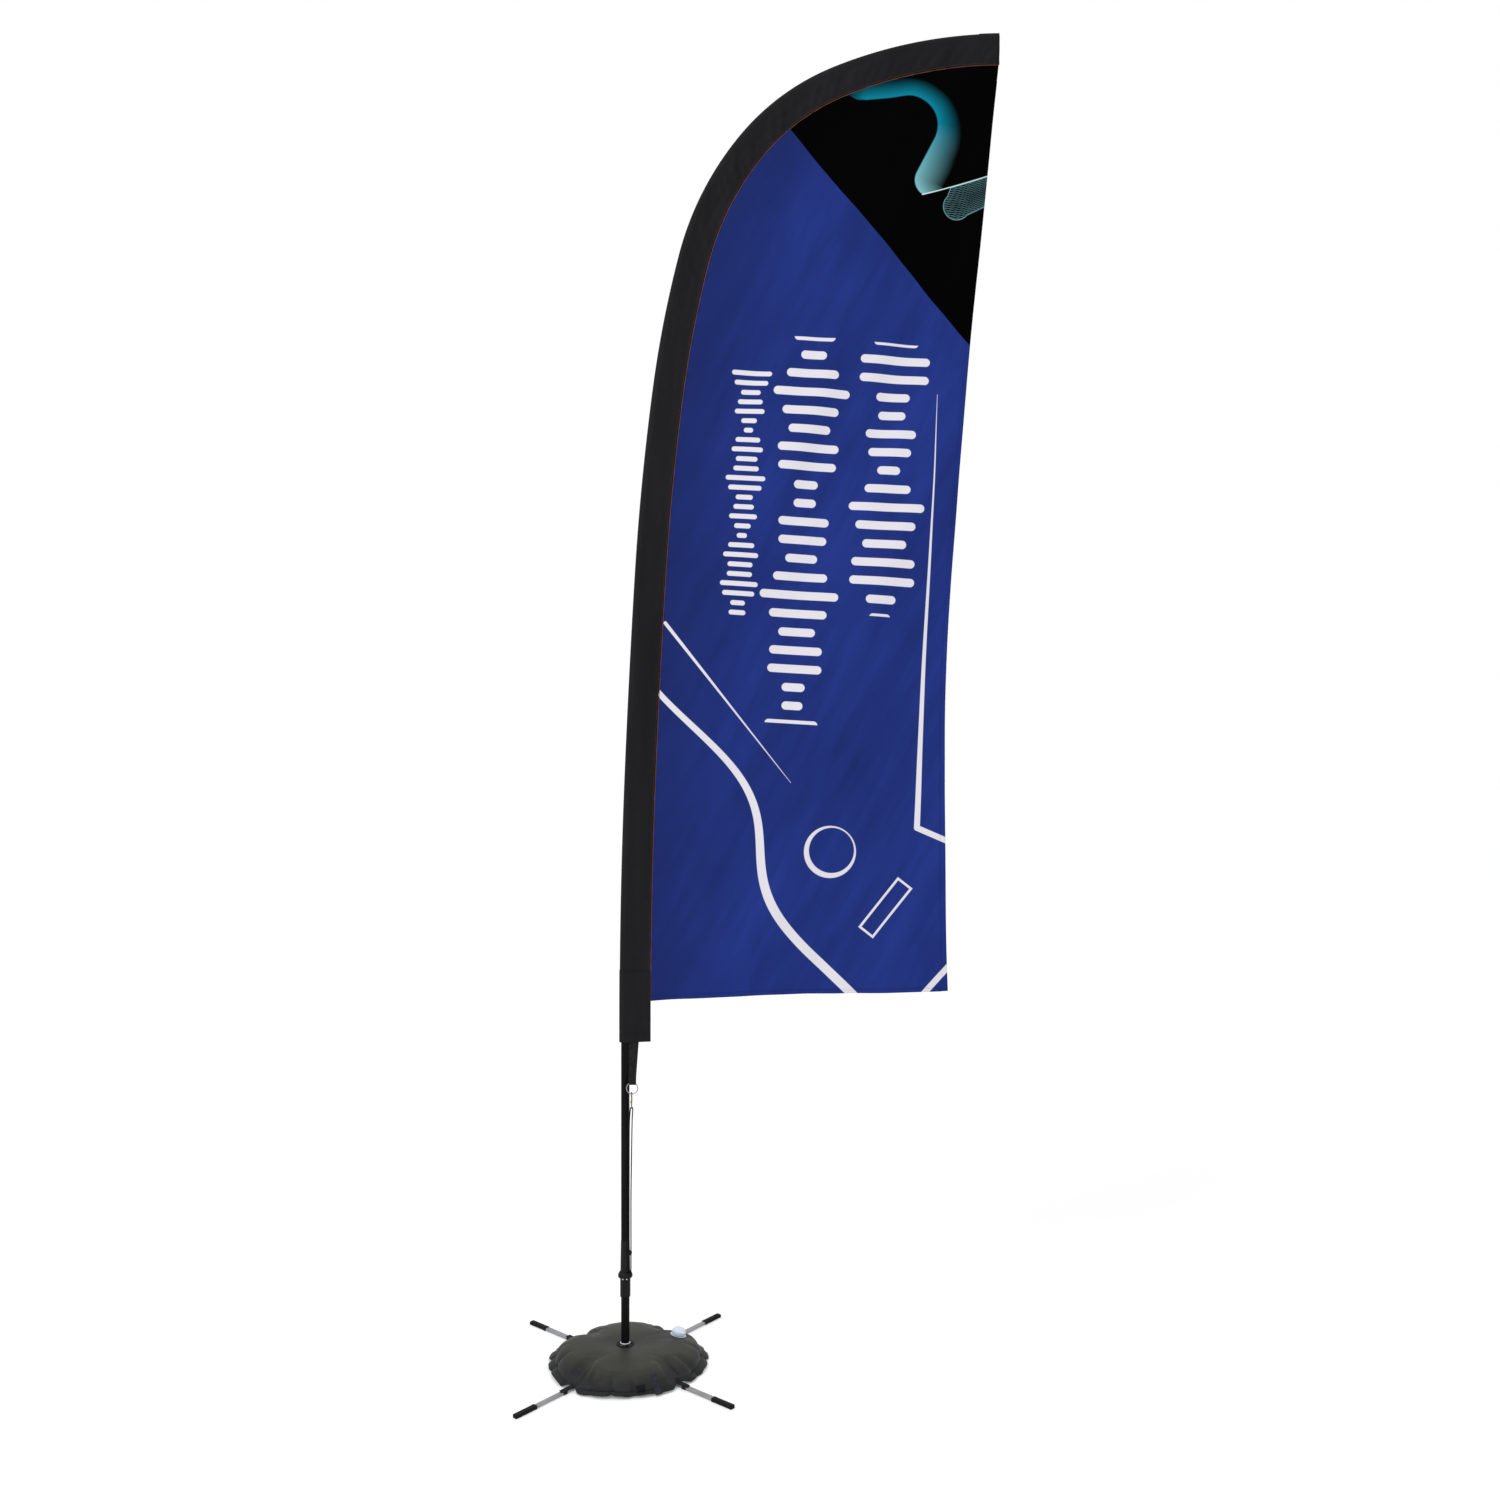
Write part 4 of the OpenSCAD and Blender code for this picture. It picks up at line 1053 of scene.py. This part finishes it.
def settle(obj, cols):
    """Flattens the filled bag's crown under its own weight, presses the leg folds into it, and keeps
    it above the floor and the bars."""
    for i, vert in enumerate(obj.data.vertices):
        r = hypot(vert.co.x, vert.co.y)
        azimuth = degrees(atan2(vert.co.y, vert.co.x))
        if i % cols < TOP_ROWS:
            vert.co.z -= max(0.0, vert.co.z - CROWN_Z) * 0.7
            vert.co.z -= pucker(min(1.0, r / rim_radius(azimuth)), azimuth)
        if r > RECESS_R:
            lowest = 0.0035 + 0.0067 * over_leg(r, azimuth)
            vert.co.z = max(vert.co.z, lowest)


def make_bag():
    """The water bag, blown up by simulation, and the line of its rim."""
    sections = [bag_section(azimuth) for azimuth in AZIMUTHS]
    cols = len(sections[0])
    verts = [polar(r, azimuth, z) for azimuth, section in zip(AZIMUTHS, sections) for r, z in section]
    bag = mesh_piece("water_bag", verts, grid_faces(len(AZIMUTHS), cols, wraps=2))
    face_out(bag)
    held = []
    for i, (azimuth, section) in enumerate(zip(AZIMUTHS, sections)):
        for c, (r, z) in enumerate(section):
            below = c >= TOP_ROWS
            on_leg = over_leg(r, azimuth) > 0.6
            at_rim = c == TOP_ROWS - 1
            at_filler = not below and filler_distance(r, azimuth) < 0.026
            if c < 2 or at_filler or (below and r < RECESS_R) or (on_leg and (below or at_rim)):
                held.append(i * cols + c)
    inflate(bag, held, 20, 3.0, 0.012)
    settle(bag, cols)
    rim = [bag.data.vertices[i * cols + TOP_ROWS - 1].co.copy() for i in range(len(AZIMUTHS))]
    round_off(bag, 1)
    apply_modifiers(bag)
    place(bag, "root", "bag_cloth", "weight_bag")
    return bag, rim


def make_flange(rim):
    """The welded flange round the bag: it droops and ruffles, and is narrow at the legs."""
    root, thick = 0.003, 0.0006
    verts = []
    for azimuth, p in zip(AZIMUTHS, rim):
        a = radians(azimuth)
        out = Vector((p.x, p.y, 0)).normalized()
        near = over_leg(BAG_R, azimuth)
        at = Vector((3 * cos(a), 3 * sin(a), 0))
        ruffle = sin(a * 17 + 5 * wander(*at)) * (0.6 + wander(*(at * 2)))
        width = (0.0080 + 0.0095 * abs(cos(a)) ** 3 + 0.0010 * ruffle) * (1 - 0.55 * near)
        low = max(0.0016 + 0.0072 * near, p.z - (0.0078 + 0.0014 * ruffle) * (1 - 0.5 * near))
        mid = p + out * width * 0.5 - Vector((0, 0, (p.z - low) * 0.36))
        tip = Vector((*(p + out * width).xy, low))
        line = [(p - out * root, 0.0004), (p + out * 0.001, thick), (mid, 0.0005), (tip, 0.0005)]
        verts += [q + Vector((0, 0, half)) for q, half in line]
        verts += [q - Vector((0, 0, half)) for q, half in reversed(line)]
    flange = mesh_piece("rim_weld_flange", verts, grid_faces(len(rim), 8, wraps=2))
    return place(face_out(flange), "root", "bag_cloth", "bag_welt", finish=seam_cloth)


def ground_of(trees, x, y, floor_z):
    """Height of the highest surface under a point, seen straight down from above."""
    hits = [tree.ray_cast(Vector((x, y, 0.2)), Vector((0, 0, -1)))[0] for tree in trees]
    return max(floor_z if hit is None else hit.z for hit in hits)


def laid_strap(name, trees, azimuth, width, reaches, floor_z):
    """A strap that lies on the surfaces below it, from one reach to another along a direction."""
    cols, verts = 9, []
    for r in reaches:
        for w in np.linspace(-width / 2, width / 2, cols):
            x, y, _ = polar(r, azimuth + degrees(atan2(w, r)), 0)
            verts.append((x, y, ground_of(trees, x, y, floor_z) + 0.0004))
    strap = mesh_piece(name, verts, grid_faces(len(reaches), cols))
    solidify(strap, 0.0013, 1.0)
    apply_modifiers(strap)
    return face_out(strap)


def make_straps(bag, flange):
    """The tie tabs at the legs, the carry strap's patch and its buckle, laid on the bag."""
    graph = bpy.context.evaluated_depsgraph_get()
    trees = [BVHTree.FromObject(piece, graph) for piece in (bag, flange)]
    over_bar = BAR_Z + BAR_H / 2 + 0.0018
    tabs = []
    for d in LEG_DIRS:
        strap = laid_strap("tab", trees, d, 0.015, np.linspace(0.182, 0.2215, 20), over_bar)
        tabs.append(([v.co.copy() for v in strap.data.vertices],
                     [tuple(p.vertices) for p in strap.data.polygons]))
        bpy.data.objects.remove(strap)
    tab = mesh_piece("leg_tie_tabs", *joined(tabs))
    patch = laid_strap("carry_strap_patch", trees, PATCH_AZIMUTH, 0.017, np.linspace(0.166, 0.2020, 22),
                       0.0055)
    buckle = ladder_buckle("carry_ladder_buckle", trees)
    return (place(tab, "root", "webbing", "bag_tabs"),
            place(patch, "root", "webbing", "carry_patch", finish=grey_webbing),
            place(buckle, "root", "black_plastic", "carry_buckle"))


def rod(a, b, radius):
    """A round bar between two points, as (points, faces)."""
    a, b, sides = Vector(a), Vector(b), 10
    t = (b - a).normalized()
    side = t.cross(Vector((0, 0, 1))).normalized()
    up = side.cross(t)
    around = [(side * cos(turn) + up * sin(turn)) * radius for turn in round_turn(sides)]
    return [q + p for q in (a, b) for p in around], tube_faces(2, sides)


def ladder_buckle(name, trees):
    """A flat ladder buckle on the bag's side: a rounded frame with two cross bars."""
    length, width, thick = 0.016, 0.021, 0.0014
    parts = [rod((-length / 2, y, 0), (length / 2, y, 0), thick) for y in (-width / 2, width / 2)]
    for x in (-length / 2, -length / 6, length / 6, length / 2):
        parts.append(rod((x, -width / 2, 0), (x, width / 2, 0), thick * 0.9))
    verts, faces = joined(parts)
    reach = 0.187
    ends = (polar(reach + side * length / 2, BUCKLE_AZIMUTH, 0) for side in (-1, 1))
    high, low = (ground_of(trees, x, y, 0.004) for x, y, _ in ends)
    middle = Matrix.Translation(polar(reach, BUCKLE_AZIMUTH, (high + low) / 2 + 0.0030))
    place_it = middle @ turn_by(BUCKLE_AZIMUTH) @ turn_by(degrees(atan2(high - low, length)), "Y")
    return face_out(mesh_piece(name, [place_it @ Vector(v) for v in verts], faces))


# ---------- leg ends ----------

RING_SIDES = 32


def along_bar(direction, stations):
    """Rings of points round a leg bar: a rounded box section at each (x, half width, half height)."""
    verts = []
    for x, half_w, half_h in stations:
        for a in round_turn(RING_SIDES):
            corner = (abs(cos(a)) ** 6 + abs(sin(a)) ** 6) ** (-1 / 6)
            verts.append(Vector((x, half_w * cos(a) * corner, BAR_Z + half_h * sin(a) * corner)))
    return [turn_by(direction) @ v for v in verts]


def leg_bands(name, directions):
    """The webbing bands round a bar: closed loops with soft edges and a stitched overlap on top."""
    first, last, bevel = 0.2055, 0.2185, 0.0006
    # Place along the bar, and thickness of the loop outside the bar's face
    section = [(first, 0.0003), (first + bevel, 0.0010), (last - bevel, 0.0010), (last, 0.0003),
               (last - bevel, -0.0001), (first + bevel, -0.0001)]
    stations = [(x, BAR_W / 2 + 0.0003 + out, BAR_H / 2 + 0.0003 + out) for x, out in section]
    top = BAR_Z + BAR_H / 2 + 0.0014
    parts = []
    for d in directions:
        faces = grid_faces(len(stations), RING_SIDES, wraps=2)
        parts.append((along_bar(d, stations), faces))
        for x in (first + 0.003, last - 0.003):
            ends = [turn_by(d) @ Vector((x, y, top)) for y in (-0.0045, 0.0045)]
            parts += stitch_line(ends, (0, 0, 1), 0.0018, 0.0026)
    return face_out(mesh_piece(name, *joined(parts)))


def foot_sleeves(name, directions):
    """Moulded rubber ends: a rounded box section that closes over the bar's end, with a lip at its
    mouth and shallow grip grooves."""
    mouth, tip_round = FOOT_REACH - END_SLEEVE_L, 0.003
    sizes = [(mouth, 1.0), (mouth + 0.0012, 1.06), (mouth + 0.004, 1.06), (mouth + 0.0052, 1.0)]
    for i in range(5):
        x = mouth + 0.012 + i * 0.0075
        sizes += [(x, 1.0), (x + 0.0008, 0.95), (x + 0.0018, 0.95), (x + 0.0026, 1.0)]
    for a in range(0, 91, 15):
        x = FOOT_REACH - tip_round + tip_round * sin(radians(a))
        sizes.append((x, 0.72 + 0.28 * cos(radians(a))))
    stations = [(x, END_SLEEVE_W / 2 * size, BAR_Z * min(size, 1.0)) for x, size in sizes]
    faces = tube_faces(len(stations), RING_SIDES)
    return face_out(mesh_piece(name, *joined([(along_bar(d, stations), faces) for d in directions])))


# ---------- filler cap ----------

def make_cap():
    """The screw cap: a knurled skirt, a stepped crown with a raised ring, all turned about its axis."""
    # (r, z) up the outside, over the crown and down the inside
    profile = [(0.0132, 0.0), (0.0172, 0.0), (0.0180, 0.0010), (0.0180, 0.0085), (0.0172, 0.0102),
               (0.0150, 0.0108), (0.0146, 0.0135), (0.0136, 0.0148), (0.0112, 0.0150), (0.0104, 0.0141),
               (0.0086, 0.0141), (0.0078, 0.0147), (0.0030, 0.0147), (0.0004, 0.0147),
               (0.0004, 0.0118), (0.0131, 0.0118), (0.0131, 0.0004)]
    sides, lobes = 120, 30
    seat = Matrix.Translation((FILLER_REACH, 0, FILLER_Z))
    place_it = turn_by(FILLER_AZIMUTH) @ seat @ turn_by(FILLER_TILT, "Y")
    verts = []
    for a in round_turn(sides):
        for r, z in profile:
            on_skirt = 0.0170 < r and 0.0005 < z < 0.0095
            grip_r = r + 0.0007 * cos(lobes * a) if on_skirt else r
            verts.append(place_it @ Vector((grip_r * cos(a), grip_r * sin(a), z)))
    cap = mesh_piece("screw_cap", verts, grid_faces(sides, len(profile), wraps=2))
    place(face_out(cap), "filler_cap", "cap_plastic", "filler_cap")


# ---------- make it ----------

# The finish of each slot, for the CAD nodes and for the pieces that name no other
FINISHES = {
    "sleeve_cloth": canvas(),
    "sail_cloth": sail_print(),
    "webbing": webbing("black_webbing", (24, 23, 25)),
    "rubber": moulded("rubber", (19, 19, 20), 0.6, 1500, gloss=0.08),
    "black_plastic": moulded("black_plastic", (21, 21, 22), 0.42, 1100, gloss=0.1),
    "bag_cloth": coated_cloth(),
    "cap_plastic": moulded("cap_plastic", (206, 216, 231), 0.2, 700, 0.00002, (0.93, 1.05)),
    "steel_bar": metal("bar_steel", (150, 151, 154), 0.34),
    "zinc_steel": metal("bright_zinc", (196, 197, 201), 0.2),
    "bearing_steel": metal("ground_steel", (200, 202, 206), 0.3),
    "cage_brass": metal("cage_brass", (200, 170, 100), 0.35),
    "hook_metal": metal("hook_metal", (132, 121, 100), 0.3),
    "housing_metal": moulded("housing_paint", (32, 33, 35), 0.4),
    "nylon": moulded("nylon", (232, 232, 226), 0.4),
    "pole": composite(),
    "ferrule": moulded("ferrule_paint", (22, 22, 23), 0.4, gloss=0.08),
    "cord": moulded("cord_sheath", (14, 14, 15), 0.8, 3000, gloss=0.03)}
grey_webbing = webbing("grey_webbing", (36, 39, 45))
black_thread = moulded("black_thread", (18, 18, 19), 0.6, 2600, gloss=0.15)
rust_thread = moulded("rust_thread", (92, 54, 44), 0.55, 2600, gloss=0.15)
seam_cloth = moulded("bag_weld", (27, 28, 29), 0.5, gloss=0.14)
for part in frame["record"]["subparts"]:
    for holder in nodes[part["node"]].material_slots:
        holder.material = FINISHES[part["material_slot"]]
nodes["split_ring"].material_slots[0].material = metal("ring_steel", (150, 149, 158), 0.25)

make_sleeve()
make_sail()
make_strap()
make_cord()
bag, rim_line = make_bag()
flange = make_flange(rim_line)
for piece in (bag, flange, *make_straps(bag, flange)):
    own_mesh(piece)
for leg, body, directions in (("lower", "root", LEG_DIRS[:2]), ("upper", "upper_leg", LEG_DIRS[2:])):
    place(foot_sleeves(f"{leg}_foot_sleeves", directions), body, "rubber", f"{leg}_leg_sleeves")
    place(leg_bands(f"{leg}_bar_bands", directions), body, "webbing", f"{leg}_leg_bands")
make_cap()


# ---------- floor, light and camera ----------

def make_stage():
    """A white floor that meets a white surround without a visible edge, and soft light."""
    floor = mesh_piece("floor", [(-40, -40, 0), (40, -40, 0), (40, 60, 0), (-40, 60, 0)], [(0, 1, 2, 3)])
    pale = Finish("pale_floor", (236, 236, 236), 0.9, gloss=0.0)
    pale.set("Base Color", (0.84, 0.84, 0.84, 1))
    pale.set("Emission Color", (1, 1, 1, 1))
    pale.set("Emission Strength", 0.17)
    floor.data.materials.append(pale.material)
    world = bpy.data.worlds.new("studio")
    world.use_nodes = True
    background = world.node_tree.nodes["Background"]
    background.inputs["Color"].default_value = (1, 1, 1, 1)
    background.inputs["Strength"].default_value = 1.0
    bpy.context.scene.world = world
    lamp = bpy.data.lights.new("key", "AREA")
    lamp.size, lamp.energy = 1.6, 95
    key = link(bpy.data.objects.new("key", lamp))
    key.location = (-2.8, -3.2, 4.6)
    key.rotation_euler = (Vector((0.3, 0, 1.4)) - key.location).to_track_quat("-Z", "Y").to_euler()
    bpy.context.scene.view_settings.view_transform = "Standard"


def make_camera():
    data = bpy.data.cameras.new("camera")
    data.sensor_width = 36.0
    width_at_sail, distance = 3.9, 3.43
    data.lens = data.sensor_width * distance / width_at_sail
    camera = link(bpy.data.objects.new("camera", data))
    camera.location = (0.3242, -distance, 1.595)
    camera.rotation_euler = (radians(90), 0, 0)
    bpy.context.scene.camera = camera


make_stage()
make_camera()
